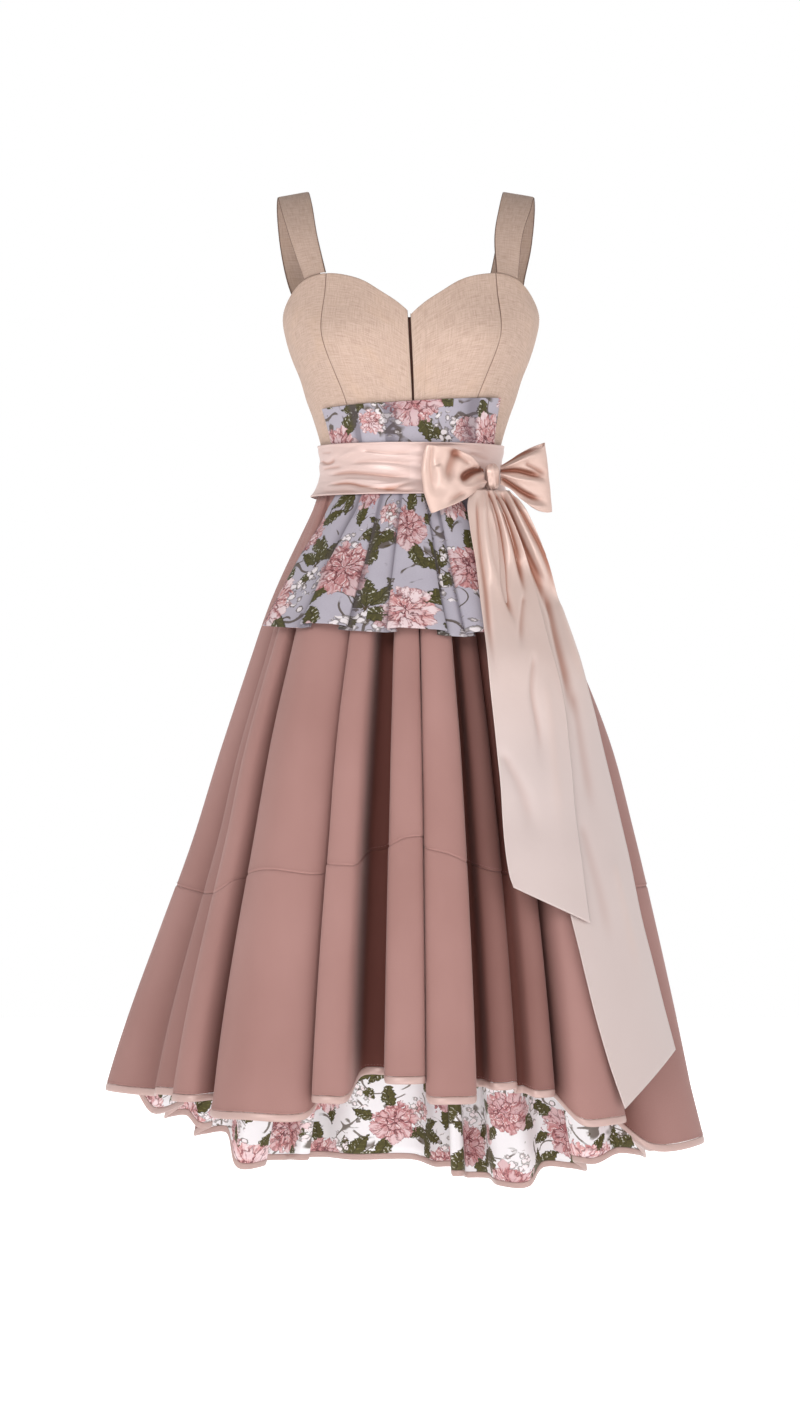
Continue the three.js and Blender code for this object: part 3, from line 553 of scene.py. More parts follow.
class Field:
    """A number that varies over a surface: the output of a shader node, with arithmetic."""

    def __init__(self, tree, socket):
        self.tree, self.socket = tree, socket

    def call(self, operation, *others):
        node = self.tree.nodes.new("ShaderNodeMath")
        node.operation = operation
        for socket, value in zip(node.inputs, (self, *others)):
            feed(self.tree, socket, value)
        return Field(self.tree, node.outputs[0])

    def __add__(self, other):
        return self.call("ADD", other)

    def __sub__(self, other):
        return self.call("SUBTRACT", other)

    def __mul__(self, other):
        return self.call("MULTIPLY", other)

    def __truediv__(self, other):
        return self.call("DIVIDE", other)

    def __rsub__(self, other):
        return self.call("MULTIPLY", -1.0).call("ADD", other)

    __radd__ = __add__
    __rmul__ = __mul__

    def rise(self, low, high):
        """0 below low, 1 above high and smooth between them."""
        node = self.tree.nodes.new("ShaderNodeMapRange")
        node.interpolation_type = "SMOOTHSTEP"
        for name, value in (("Value", self), ("From Min", low), ("From Max", high)):
            feed(self.tree, node.inputs[name], value)
        return Field(self.tree, node.outputs["Result"])

    def fine_wave(self, pitch):
        return (self * (2 * math.pi / pitch)).call("SINE")


def linear(red, green, blue):
    """A display colour, 0 to 255, as a linear one."""
    parts = (c / 255 for c in (red, green, blue))
    return tuple(c / 12.92 if c <= 0.04045 else ((c + 0.055) / 1.055) ** 2.4 for c in parts)


class Shader:
    """Builds one cloth material, painted layer by layer. Lengths are in metres on the cloth."""

    def __init__(self, name, roughness, sheen=0.0, specular=0.5, sheen_tint=(1, 1, 1, 1)):
        self.material = bpy.data.materials.new(name)
        self.material.use_nodes = True
        self.tree = self.material.node_tree
        self.bsdf = self.tree.nodes["Principled BSDF"]
        self.hold("Roughness", roughness)
        self.hold("Sheen Weight", sheen)
        self.hold("Sheen Roughness", 0.4)
        self.hold("Sheen Tint", sheen_tint)
        self.hold("Specular IOR Level", specular)
        self.bump = None
        self.tone = 1.0
        uv = self.node("ShaderNodeUVMap", uv_map="cloth")
        self.u, self.v, _ = self.split("ShaderNodeSeparateXYZ", uv.outputs[0])
        # The fold value read here is where the cloth's shade is painted, and on satin ridges a painted
        # highlight.
        self.fold = Field(self.tree, self.node("ShaderNodeAttribute", attribute_name="fold").outputs["Fac"])

    def hold(self, name, value):
        """Sets a constant of the surface."""
        self.bsdf.inputs[name].default_value = value

    def node(self, kind, **settings):
        node = self.tree.nodes.new(kind)
        for name, value in settings.items():
            setattr(node, name, value)
        return node

    def split(self, kind, output):
        """The three parts of a colour or a point, as fields."""
        node = self.node(kind)
        self.tree.links.new(output, node.inputs[0])
        return [Field(self.tree, part) for part in node.outputs[:3]]

    def texture(self, kind, place, scale=True, **settings):
        """A texture node read at a place (x, y, z)."""
        node = self.node(kind, **settings)
        point = self.node("ShaderNodeCombineXYZ")
        for socket, value in zip(point.inputs, place):
            feed(self.tree, socket, value)
        self.tree.links.new(point.outputs[0], node.inputs["Vector"])
        if scale:
            node.inputs["Scale"].default_value = 1.0
        return node

    def noise(self, x, y, z, detail=2.0):
        node = self.texture("ShaderNodeTexNoise", (x, y, z))
        node.inputs["Detail"].default_value = detail
        return Field(self.tree, node.outputs[0])

    def grain(self, across, down, seed, detail=2.0):
        """Noise over the cloth, so many times finer than a metre across and down."""
        return self.noise(self.u * across, self.v * down, seed, detail)

    def cells(self, x, y, z, randomness=1.0, feature="F1"):
        """A texture of irregular cells, and how far each place is from a cell's middle, or its edge."""
        node = self.texture("ShaderNodeTexVoronoi", (x, y, z), feature=feature)
        node.inputs["Randomness"].default_value = randomness
        return node, Field(self.tree, node.outputs["Distance"])

    def random(self, x, y, seed):
        """Three even random numbers for each whole x and y."""
        node = self.texture("ShaderNodeTexWhiteNoise", (x, y, seed), scale=False, noise_dimensions="3D")
        return self.split("ShaderNodeSeparateColor", node.outputs["Color"])

    def blend(self, under, over, share):
        """Mixes two colours, each the name of an ink, a linear (r, g, b) or an output, by a field."""
        node = self.node("ShaderNodeMix", data_type="RGBA")
        self.tree.links.new(share.socket, node.inputs[0])
        for socket, value in ((node.inputs[6], under), (node.inputs[7], over)):
            value = self.ink(value) if isinstance(value, str) else value
            if isinstance(value, tuple):
                socket.default_value = (*value, 1.0)
            else:
                self.tree.links.new(value, socket)
        return node.outputs[2]

    def ink(self, name):
        """A printed colour as a linear one, made lighter or darker by the shader's tone."""
        return tuple(min(part * self.tone, 1.0) for part in linear(*INK[name]))

    def paint(self, over, share):
        """Lays a colour over the base colour by a field."""
        self.base = self.blend(self.base, over, share)

    def raise_by(self, height, distance, strength):
        """Adds a bump whose height field spans the distance, in metres."""
        node = self.node("ShaderNodeBump")
        node.inputs["Strength"].default_value = strength
        node.inputs["Distance"].default_value = distance
        self.tree.links.new(height.socket, node.inputs["Height"])
        if self.bump:
            self.tree.links.new(self.bump, node.inputs["Normal"])
        self.bump = node.outputs[0]

    def finished(self):
        """Joins the base colour and the bumps to the surface, which is then whole."""
        self.tree.links.new(self.base, self.bsdf.inputs["Base Color"])
        self.tree.links.new(self.bump, self.bsdf.inputs["Normal"])
        return self.material


# ------------------------------------------------------------------ materials
def threads(shader, pitch):
    """A plain weave: warp and weft threads that pass over and under in turn."""
    return shader.u.fine_wave(pitch) * shader.v.fine_wave(pitch) * 0.5 + 0.5


# Display colours, of the woven cloths and then of the printed flowers. Some cloth colours are painted shade:
# the dark brown beside seams and edges, the placket's dark brown seen through the slit and the twill's deep
# rust in the gaps between flutes.
INK = {
    "linen": (202, 176, 161), "linen_dark": (168, 141, 125), "linen_warm": (204, 172, 148),
    "linen_fleck": (120, 95, 80), "linen_seam_shade": (84, 56, 42), "placket": (70, 42, 34),
    "twill": (168, 128, 122), "twill_dark": (144, 104, 97), "twill_valley_shade": (84, 34, 22),
    "pleat_shade": (74, 64, 74),
    "petal_pale": (238, 216, 218), "petal_edge": (248, 236, 236), "petal": (212, 150, 148),
    "petal_deep": (162, 96, 100), "line": (98, 48, 54), "leaf": (75, 70, 34), "leaf_light": (112, 104, 56),
    "leaf_white": (222, 218, 210), "leaf_line": (42, 32, 20), "stem": (76, 60, 38),
    "blossom": (238, 228, 230), "blossom_heart": (150, 120, 74),
}


def linen_material(name, tone):
    """Slubby plain-weave linen. tone scales how light it is; a tone below 1 is painted shade."""
    shader = Shader(name, roughness=0.85, sheen=0.1, specular=0.2)
    shader.tone = tone
    slub_across, slub_down = shader.grain(60, 900, 1.0), shader.grain(900, 60, 4.0)
    shader.base = "linen"
    shader.paint("linen_dark", (slub_across - 0.5) * 1.6 + (slub_down - 0.5) * 1.3 + 0.3)
    shader.paint("linen_warm", shader.grain(22, 22, 7.0, detail=3).rise(0.5, 0.8) * 0.35)
    shader.paint(linear(*INK["linen_fleck"]), shader.grain(700, 700, 9.0, detail=1).rise(0.66, 0.8) * 0.5)
    # Painted shade: dark brown where the fold value is high, beside the seams and edges of each panel and
    # strap.
    shader.paint("linen_seam_shade", shader.fold.rise(0.2, 1.0) * 0.8)
    shader.raise_by(threads(shader, 0.0012) + slub_across + slub_down, 0.0004, 0.5)
    return shader.finished()


def shaded_placket_material():
    shader = Shader("placket", roughness=0.8, sheen=0.1, specular=0.2)
    # Painted shade: the placket is a real closing strip, but its dark brown and darker patches stand for the
    # shade seen through the slit.
    shader.base = shader.ink("placket")
    shader.paint(tuple(part * 0.6 for part in shader.base), shader.grain(80, 80, 2.0).rise(0.3, 0.8))
    shader.raise_by(threads(shader, 0.001), 0.0002, 0.4)
    return shader.finished()


def twill_material():
    shader = Shader("twill", roughness=0.75, sheen=0.2, specular=0.2, sheen_tint=(1, 0.85, 0.82, 1))
    diagonal = (shader.u + shader.v * 0.8).fine_wave(0.0011) * 0.5 + 0.5
    cloudy = shader.grain(9, 6, 3.0, detail=3)
    speck = shader.grain(1100, 1100, 5.0, detail=1)
    shader.base = "twill"
    shader.paint("twill_dark", (cloudy - 0.5) * 0.9 + (speck - 0.5) * 0.8 + diagonal * 0.25 + 0.2)
    # Painted shade: the deep rust colour in the gaps between flutes, where the fold value is high.
    shader.paint("twill_valley_shade", shader.fold.rise(0.08, 0.95) * 0.85)
    shader.raise_by(diagonal + speck * 0.6, 0.00022, 0.45)
    return shader.finished()


def satin_material(name, light, dark, deep, roughness, metallic=0.3, lower_colour=None):
    """Satin: a painted highlight on its ridges and painted shade inside its creases, and another colour
    further down.
    """
    shader = Shader(name, roughness=roughness, sheen=0.08, specular=0.5, sheen_tint=(1, 0.93, 0.9, 1))
    shader.hold("Metallic", metallic)
    cloudy = shader.grain(14, 10, 3.0, detail=3)
    thread = shader.grain(120, 2600, 5.0, detail=1)
    shader.base = linear(*light)
    shader.paint(linear(*dark), (cloudy - 0.4) * 0.9 + (thread - 0.5) * 0.3)
    # Further down the piece the colour turns to the lower one.
    if lower_colour:
        shader.paint(linear(*lower_colour), shader.v.rise(0.05, 0.42) * 0.75)
    # Painted shade: the deep colour inside creases.
    shader.paint(linear(*deep), shader.fold.rise(0.08, 1.1) * 0.9)
    # Painted highlight: the light colour again on ridges, where the fold value is below 0.
    shader.paint(linear(*light), (shader.fold * -1).rise(0.05, 0.7) * 0.8)
    shader.raise_by(cloudy, 0.002, 0.12)
    shader.raise_by(thread, 0.00012, 0.2)
    return shader.finished()


# The print repeats by cells of this width and height, in metres; every other column is half a cell off.
PRINT_CELL = (0.100, 0.112)
# How far a motif may stray in its cell, the sizes of a peony and a blossom, and a leaf's stalk as a
# share of its length.
CELL_DRIFT = 0.010
PEONY_RADIUS = 0.035
BLOSSOM = 0.0088
STALK = 0.3


def floral_material(name, ground, ground_dark, tone):
    """A jacquard with scattered peonies, leaf sprays, stems and small pale blossoms on a plain ground.

    tone scales how light the flowers are. While they are laid on, the shader keeps the height of the
    cloth, a ragged field that frays their outlines and two drift fields that bend them.
    """
    shader = Shader(name, roughness=0.6, sheen=0.1, specular=0.25)
    shader.tone = tone
    thread = shader.grain(420, 1900, 2.0, detail=1)
    shader.base = linear(*ground)
    shader.paint(linear(*ground_dark), (thread - 0.5) * 0.7 + (shader.grain(30, 30, 6.0) - 0.5) * 0.5 + 0.35)
    shader.height = thread * 0.3
    shader.ragged = shader.grain(330, 330, 3.0) - 0.5
    shader.drift = [(shader.grain(130, 130, seed, detail=1) - 0.5) * 0.006 for seed in (5.0, 15.0)]
    stems(shader)
    spray(shader)
    bouquet(shader)
    shader.paint(linear(*INK["pleat_shade"]), shader.fold.rise(0.05, 1.0) * 0.55)
    shader.raise_by(shader.height, 0.0005, 0.55)
    return shader.finished()


def stems(shader):
    """Thin stems that wander over the ground and carry small buds."""
    for scale, seed in ((13.0, 2.0), (17.0, 9.0)):
        level = shader.grain(scale, scale, seed, detail=1) - 0.5
        shown = shader.grain(26, 26, seed + 3).rise(0.48, 0.54)
        line = (0.012 - level.call("ABSOLUTE") + shader.ragged * 0.008).rise(0.0, 0.005) * shown
        shader.paint("stem", line * 0.85)
        shader.height += line * 0.2
    _, far = shader.cells(shader.u / 0.021, shader.v / 0.021, 4.0)
    some = shader.grain(24, 24, 21.0).rise(0.53, 0.56)
    bud = (0.17 - far + shader.ragged * 0.1).rise(0.0, 0.03) * some
    shader.paint("stem", (0.23 - far + shader.ragged * 0.2).rise(0.0, 0.02) * some * 0.8)
    shader.paint("blossom", bud)
    shader.height += bud * 0.3


def motif_cell(shader, shift, seed):
    """Coordinates about the middle of each cell of a half-drop repeat, and its random numbers."""
    column = shader.u / PRINT_CELL[0] + shift
    whole = column.call("FLOOR")
    row = shader.v / PRINT_CELL[1] + (whole * 0.5).call("FRACT")
    level = row.call("FLOOR")
    draws = shader.random(whole, level, seed)
    x = (column - whole - 0.5) * PRINT_CELL[0] + (draws[0] - 0.5) * CELL_DRIFT + shader.drift[0]
    y = (row - level - 0.5) * PRINT_CELL[1] + (draws[1] - 0.5) * CELL_DRIFT + shader.drift[1]
    return x, y, draws


def turned(x, y, angle, stand):
    """A place seen from a point that stands off in the direction of the angle, a field of radians."""
    cosine, sine = angle.call("COSINE"), angle.call("SINE")
    return x * cosine + y * sine - stand, y * cosine - x * sine


def leaf(shader, x, y, length):
    """A toothed leaf along x from the origin, dark with a pale streaked side, and its stem behind it."""
    along, side = x / length, y / length
    bow = side - along * (1.0 - along) * 0.3
    across = bow.call("ABSOLUTE")
    tooth = (along * 6 - across * 3).call("FRACT") * 0.045
    belly = (along * (1.0 - along)).call("MAXIMUM", 0.0) * (1.4 - along * 0.8)
    room = belly - tooth + shader.ragged * 0.08 - across
    inside = room.rise(0.0, 0.025)
    rim = inside * (1.0 - room.rise(0.02, 0.05))
    vein = 1.0 - across.rise(0.004, 0.02)
    ribs = ((along * 6 - across * 5).call("FRACT") - 0.5).call("ABSOLUTE").rise(0.3, 0.46)
    lit = ((bow - 0.01) * 40).call("MINIMUM", 1.0).call("MAXIMUM", 0.0)
    pale = lit * (shader.ragged * 2.2 + ribs * 0.35).rise(0.2, 0.6) * (along * 2).rise(0.1, 0.8)
    streaked = (shader.ragged * 1.6 + ribs * 0.3).rise(0.05, 0.8)
    green = shader.blend("leaf", "leaf_light", streaked)
    green = shader.blend(green, "leaf_white", pale * 0.9)
    green = shader.blend(green, "leaf_line", vein * 0.7 + rim * 0.75)
    behind = (along * -1).rise(-0.05, 0.02) * (along + STALK).rise(0.0, 0.04)
    shader.paint("stem", (0.022 - across).rise(-0.012, 0.01) * behind)
    shader.paint(green, inside)
    shader.height += inside * 0.4


def blossoms(shader, x, y, radius):
    """A loose head of small pale flowers with fine broken outlines and dark hearts."""
    _, far = shader.cells(x / BLOSSOM, y / BLOSSOM, 0.0, 0.85)
    reach = (x * x + y * y).call("SQRT") / radius
    inside = (1.0 - reach + shader.ragged * 0.6).rise(0.0, 0.1)
    petals = (0.52 - far + shader.ragged * 0.35).rise(0.0, 0.06) * inside
    frayed = far + shader.ragged * 0.35
    outline = inside * frayed.rise(0.42, 0.47) * (1.0 - frayed.rise(0.55, 0.62))
    heart = (0.13 - far + shader.ragged * 0.12).rise(0.0, 0.04) * inside
    shader.paint("blossom", petals)
    shader.paint("stem", outline * 0.6)
    shader.paint("blossom_heart", heart * 0.8)
    shader.height += petals * 0.4


def peony(shader, x, y, seed, tone):
    """A full peony: ruffled petals, smaller towards the heart, with fine broken engraved strokes."""
    radius = (x * x + y * y).call("SQRT") / PEONY_RADIUS + 0.001
    warp = radius.call("POWER", -0.42) * (2.7 / PEONY_RADIUS)
    px, py = (
        part * warp + (shader.noise(x * 110, y * 110, seed + shift) - 0.5) * 0.9
        for part, shift in ((x, 0.0), (y, 7.3))
    )
    near, far = shader.cells(px, py, seed)
    _, rim = shader.cells(px, py, seed, feature="DISTANCE_TO_EDGE")
    draw, _, _ = shader.split("ShaderNodeSeparateColor", near.outputs["Color"])
    room = 1.0 - radius - (far - 0.25) * 0.34 - (draw - 0.5) * 0.26 + shader.ragged * 0.2
    inside = room.rise(0.0, 0.025)
    heart = 1.0 - radius.rise(0.1, 0.8)
    streak = shader.noise(y.call("ARCTAN2", x) * 9, radius * 2.6, seed + 1.7)
    broken = shader.noise(x * 420, y * 420, seed + 2.9, detail=1)
    depth = (far * 1.3 + (draw - 0.5) * 0.9 + (streak - 0.5) * 1.4).rise(0.1, 0.9)
    petal = shader.blend("petal_pale", "petal", depth)
    petal = shader.blend(petal, "petal_deep", tone.rise(0.5, 0.85) * 0.4 + heart * 0.2)
    lip = rim.rise(0.05, 0.1) * (1.0 - rim.rise(0.14, 0.3)) * broken.rise(0.35, 0.6) * draw.rise(0.3, 0.6)
    petal = shader.blend(petal, "petal_edge", lip * 0.7)
    strokes = streak.rise(0.5, 0.57) * broken.rise(0.4, 0.5) * (far.rise(0.1, 0.45) * 0.6 + heart * 0.5)
    petal = shader.blend(petal, "petal_deep", strokes.call("MINIMUM", 1.0))
    line = (1.0 - (rim + shader.ragged * 0.08).rise(0.02, 0.1)) * broken.rise(0.3, 0.5) * (0.6 + heart * 0.4)
    outline = (1.0 - room.rise(0.02, 0.06)) * broken.rise(0.4, 0.55) * 0.6
    petal = shader.blend(petal, "line", line.call("MAXIMUM", outline).call("MINIMUM", 1.0))
    shader.paint(petal, inside)
    shader.height += inside * (0.6 - line * 0.5)


def sprig(shader, x, y, lean, leaves, head):
    """Leaves round a point, each with its angle, length and stand, and a head of blossoms beside them."""
    for angle, length, stand in leaves:
        leaf(shader, *turned(x, y, lean + angle, stand), length)
    angle, radius, stand = head
    blossoms(shader, *turned(x, y, lean + angle, stand), radius)


def bouquet(shader):
    """A peony with leaves and a head of blossoms that stand out from behind it."""
    x, y, (one, two, three) = motif_cell(shader, 0.0, 1.5)
    leaves = ((0.3, 0.042, 0.0203), (1.35, 0.034, 0.0245), (2.9, 0.044, 0.021), (4.5, 0.036, 0.0245))
    sprig(shader, x, y, three * (2 * math.pi), leaves, (5.5, 0.017, 0.04025))
    grown = one * 0.3 + 0.84
    peony(shader, x * grown, y * grown, two * 40, three)


def spray(shader):
    """A leaf spray with a small half-open flower and blossoms, between the bouquets."""
    x, y, (one, two, three) = motif_cell(shader, 0.5, 8.5)
    lean = one * (2 * math.pi)
    leaves = ((0.0, 0.046, 0.002), (0.8, 0.036, 0.006), (-0.85, 0.038, 0.004), (3.9, 0.030, 0.008))
    sprig(shader, x, y, lean, leaves, (3.2, 0.019, 0.021))
    along, side = turned(x, y, lean + 2.1, 0.026)
    small = 2.1
    peony(shader, along * small, side * small, three * 40, two)


# Each fabric's thickness, the slot of its finish and its material.
FABRICS = {
    "linen": (LINEN, "linen", linen_material("linen", 1.0)),
    # Painted shade: the straps' linen is the bodice's, darkened, for the straps get less light than the
    # front.
    "strap": (STRAP, "linen", linen_material("strap", 0.74)),
    "placket": (LINING, "placket", shaded_placket_material()),
    "twill": (TWILL, "twill", twill_material()),
    "satin": (SATIN, "satin", satin_material(
        "satin", (213, 188, 182), (191, 155, 143), (160, 104, 80), 0.4)),
    # Painted shade: the bow's satin is the sash's, made darker for the loops, which face the key lamp.
    "bow": (SATIN, "satin", satin_material(
        "bow", (207, 178, 167), (180, 140, 125), (134, 76, 54), 0.36)),
    # Painted shade: the tails' satin is the sash's, a little darker; further down it turns to a greyer
    # colour.
    "tail": (SATIN, "satin", satin_material(
        "tail", (210, 184, 174), (192, 158, 145), (152, 94, 72), 0.38, 0.2, lower_colour=(198, 184, 182))),
    "binding": (BINDING, "binding", satin_material(
        "binding", (190, 160, 153), (168, 136, 128), (140, 104, 94), 0.38, 0.15)),
    "jacquard": (JACQUARD, "jacquard", floral_material("jacquard", (172, 166, 176), (148, 141, 152), 0.78)),
    # Partly painted light: the lining's own near-white ground is made lighter still, with lighter flowers,
    # to make up for the little light inside the skirt.
    "lining": (LINING, "lining", floral_material("lining", (248, 245, 247), (238, 234, 237), 1.12)),
}


def sewn(node, fabric, surface, us, vs, flat, held="hung", area=None, **shape):
    """A piece of cloth of a fabric, in place of the part it stands for, which it hides, on the root body.
    What it was cut from, flat, held and area, is not used.
    """
    thick, slot, material = FABRICS[fabric]
    piece = cloth(f"{node}_cloth", surface, us, vs, thick, material, **shape)
    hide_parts(node)
    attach(piece, "root")


# ------------------------------------------------------------------ ripples
# Uneven ripples of each cloth: their height, the seed and number of their waves, and how many of these
# run across and along one unit of u and v, from the fewest to the most.
RIPPLES = {
    "linen": (0.35, 30, 6, (0.5, 3), (0.5, 4)),
    "strap": (0.3, 50, 5, (0.3, 1), (2, 6)),
    "skirt_broad": (1.3, 70, 6, (0.5, 2.5), (0.3, 1.4)),
    "skirt_fine": (0.7, 73, 8, (0.6, 2.4), (1.0, 4.5)),
    "sash": (0.35, 90, 6, (0.3, 1.5), (2.0, 5.0)),
    "loop": (0.5, 95, 6, (0.5, 2.0), (1.5, 4.0)),
    "tail": (0.8, 97, 7, (0.3, 1.5), (0.6, 3.5)),
}


def rippled(kind, u, v, own_seed=0, share=1.0):
    height, seed, count, across, along = RIPPLES[kind]
    return height * share * waves(u, v, seed + own_seed, count, across, along)


# ------------------------------------------------------------------ bodice
def seam_top(seam):
    z = TOP_EDGE["z"][0]
    for _ in range(12):
        z = top_edge(seam(z))
    return z


def panel_surface(left_seam, right_seam):
    left_top, right_top = seam_top(left_seam), seam_top(right_seam)

    def surface(u, v):
        left = left_seam(mix(WAIST_Z, left_top, v))
        right = right_seam(mix(WAIST_Z, right_top, v))
        top = top_edge(mix(left_seam(left_top), right_seam(right_top), u))
        return torso(mix(left, right, u), mix(WAIST_Z, top, v))

    return surface


def princess(side):
    return lambda z: side * profile(PRINCESS, "z", "turn", z)


def plumb(turn):
    return lambda z: turn + 0 * z


def slit_edge(side):
    def edge(z):
        z = np.asarray(z, float)
        x = profile(SLIT, "z", "x", z) + side * profile(SLIT, "z", "half", z)
        return turn_at(x, lambda turn: torso_radius(turn, z))

    return edge


# The seams that bound each panel, its flat width and length, and its area's share of their product.
PANELS = {
    "bodice_front_right": (princess(-1), slit_edge(-1), 120, 262, 0.78),
    "bodice_front_left": (slit_edge(1), princess(1), 120, 262, 0.78),
    "bodice_side_front_right": (plumb(-SIDE_SEAM), princess(-1), 124, 262, 0.84),
    "bodice_side_front_left": (princess(1), plumb(SIDE_SEAM), 124, 262, 0.84),
    "bodice_side_back_right": (plumb(-BACK_SEAM), plumb(-SIDE_SEAM), 148, 222, 0.87),
    "bodice_side_back_left": (plumb(SIDE_SEAM), plumb(BACK_SEAM), 148, 222, 0.87),
    "bodice_back": (plumb(BACK_SEAM), plumb(360 - BACK_SEAM), 122, 216, 0.88),
}
# Each panel's weave starts this far from the last one's, in metres.
WEAVE_SHIFT = 0.37
STRAP_WIDE = 40
PLACKET_DROP = 3


def beside_edges(wide, reach):
    """A fold value of 1 at the long edges of a piece, fading over the reach: a seam shades it there."""
    return lambda u, v: np.exp(-((0.5 - np.abs(np.clip(u, 0, 1) - 0.5)) * wide / reach) ** 2)


def bodice():
    roll = {"u0": (0.9, 1.3), "u1": (0.9, 1.3), "v1": (0.7, 1.2)}
    for number, (node, (left, right, wide, tall, share)) in enumerate(PANELS.items()):
        sewn(node, "linen", panel_surface(left, right), spaced(34, wide), spaced(70, tall),
             (wide * MM, tall * MM), "stretched", share * wide * tall * MM * MM,
             trim=FREE_END_TRIM, roll=roll, uv_start=(number * WEAVE_SHIFT, 0),
             relief=lambda u, v: rippled("linen", u, v, number), hollow=beside_edges(wide, 0.8))


def placket():
    top = TOP_EDGE["z"][0] - PLACKET_DROP

    def surface(u, v):
        z = mix(WAIST_Z, top, v)
        x = profile(SLIT, "z", "x", z) + mix(-PLACKET_HALF, PLACKET_HALF, u)
        return torso(turn_at(x, lambda turn: torso_radius(turn, z)), z)

    # The placket behind the slit is coloured dark brown as painted shade.
    sewn("front_placket", "placket", surface, np.linspace(0, 1, 9), np.linspace(0, 1, 50),
         (2 * PLACKET_HALF * MM, 0.205), "stretched", out=-LINEN - PLACKET_GAP)


def strap(node, side):
    ends = {}
    for edge, sizes in STRAP_EDGES.items():
        over = [(side * x + STRAP_SHIFT, y, z) for x, y, z in sizes["over"]]
        seats = [torso(side * sizes[end], top_edge(side * sizes[end])) for end in ("front", "back")]
        ends[edge] = np.array([seats[0], *over, seats[1]])
    spans = len(ends["inner"]) - 1

    def straight(u, s):
        inner, outer = (curve_at(ends[edge], s * spans) for edge in ("inner", "outer"))
        return inner + (outer - inner) * u[..., None]

    def seated(end, u, s):
        turn = side * mix(STRAP_EDGES["inner"][end], STRAP_EDGES["outer"][end], u)
        return torso(turn, top_edge(turn)) - straight(u, np.full(u.shape, s))

    def surface(u, v):
        s = np.clip(v, 0, 1)
        near_front = np.clip(1 - s / STRAP_SEAT, 0, 1) ** 2
        near_back = np.clip(1 - (1 - s) / STRAP_SEAT, 0, 1) ** 2
        point = straight(u, s) + seated("front", u, 0.0) * near_front[..., None]
        return point + seated("back", u, 1.0) * near_back[..., None]

    sewn(node, "strap", surface, spaced(12, STRAP_WIDE), np.linspace(0, 1, 120),
         (STRAP_WIDE * MM, 0.365), "stretched", out=STRAP, up=side,
         trim={**NO_TRIM, "v0": 2 * SEAM, "v1": 2 * SEAM}, roll={"u0": (0.7, 1.2), "u1": (0.7, 1.2)},
         hollow=beside_edges(STRAP_WIDE, 1.1), relief=lambda u, v: rippled("strap", u, v, side))


# ------------------------------------------------------------------ skirt
# The skirt stands out a little over the wearer's right hip.
HIP = {"full": 7.5, "z": -530, "tall": 110, "from": 73, "over": 14}
# The halves of the skirt meet at these hem points, and go once round.
SIDE_POINTS = {"left": LEFT_SIDE_FLUTE * POINTS_PER_FLUTE, "right": RIGHT_SIDE_FLUTE * POINTS_PER_FLUTE + 2}
HALVES = {
    "front": (SIDE_POINTS["left"], SIDE_POINTS["right"]),
    "back": (SIDE_POINTS["right"], SIDE_POINTS["left"] + len(HEM_POINTS)),
}
COLUMNS_PER_POINT = 8
# Flat width and length of each half's upper skirt and flounce, with the area's share of their product,
# and the length of its binding, in metres.
SKIRT_CUT = {
    "front": {"upper": (1.65, 0.52, 0.67), "flounce": (1.75, 0.33, 0.84), "band": 1.65},
    "back": {"upper": (1.5, 0.6, 0.57), "flounce": (1.55, 0.37, 0.84), "band": 1.54},
}


def upper_skirt(u, v):
    return skirt_point(u, v * seam_share(u))


def flounce(u, v):
    return skirt_point(u, mix(seam_share(u), binding_top(u), v))


def hem_band(u, v):
    return skirt_point(u, mix(binding_top(u), 1.0, v))


def skirt_swell(u, v):
    """How far the cloth stands off the plain form of the skirt: its ripples and the wearer's hip."""
    ripples = rippled("skirt_broad", u * 0.11, v, share=smooth(v * 3))
    ripples = ripples + rippled("skirt_fine", u * 0.4, v, share=smooth(v * 4))
    place = upper_skirt(u, v)
    hip = HIP["full"] * np.exp(-((place[..., 2] - HIP["z"]) / HIP["tall"]) ** 2)
    return ripples + hip * smooth((-turn_of(place) - HIP["from"]) / HIP["over"])


def skirt():
    for place, (first, last) in HALVES.items():
        columns = np.linspace(first, last, (last - first) * COLUMNS_PER_POINT + 1)
        cut = SKIRT_CUT[place]
        wide, tall, share = cut["upper"]
        sewn(f"skirt_{place}", "twill", upper_skirt, columns, spaced(52, 500, first=False),
             (wide, tall), "gathered", share * wide * tall, up=-1, relief=skirt_swell,
             roll={"v1": (0.9, 1.5)}, hollow=lambda u, v: skirt_hollow(u, v * seam_share(u)))
        wide, tall, share = cut["flounce"]
        sewn(f"flounce_{place}", "twill", flounce, columns, spaced(34, 330),
             (wide, tall), "hung", share * wide * tall, up=-1, roll={"v0": (0.9, 1.5)},
             uv_start=(0, 0.7), hollow=lambda u, v: skirt_hollow(u, mix(seam_share(u), 1.0, v)))
        sewn(f"lining_{place}", "lining", flounce, columns, np.linspace(0, 1, 30),
             (wide, tall), "hung", share * wide * tall, out=-TWILL - SEAM, up=-1)
        sewn(f"hem_binding_{place}", "binding", hem_band, columns, np.linspace(0, 1, 7),
             (cut["band"], 0.012), "hung", out=0.1, up=-1, trim=FREE_END_TRIM,
             roll={"v0": (0.5, 1.2), "v1": (1.0, 1.8)}, follow=-1.0)


# ------------------------------------------------------------------ peplum
def span_of(folds, u):
    """Which span of the pleated cloth u lies in, how far through it, and the number of folds."""
    count = len(folds["turn"])
    span = np.clip(np.floor(u), 0, 2 * count).astype(int)
    return span, u - span, count


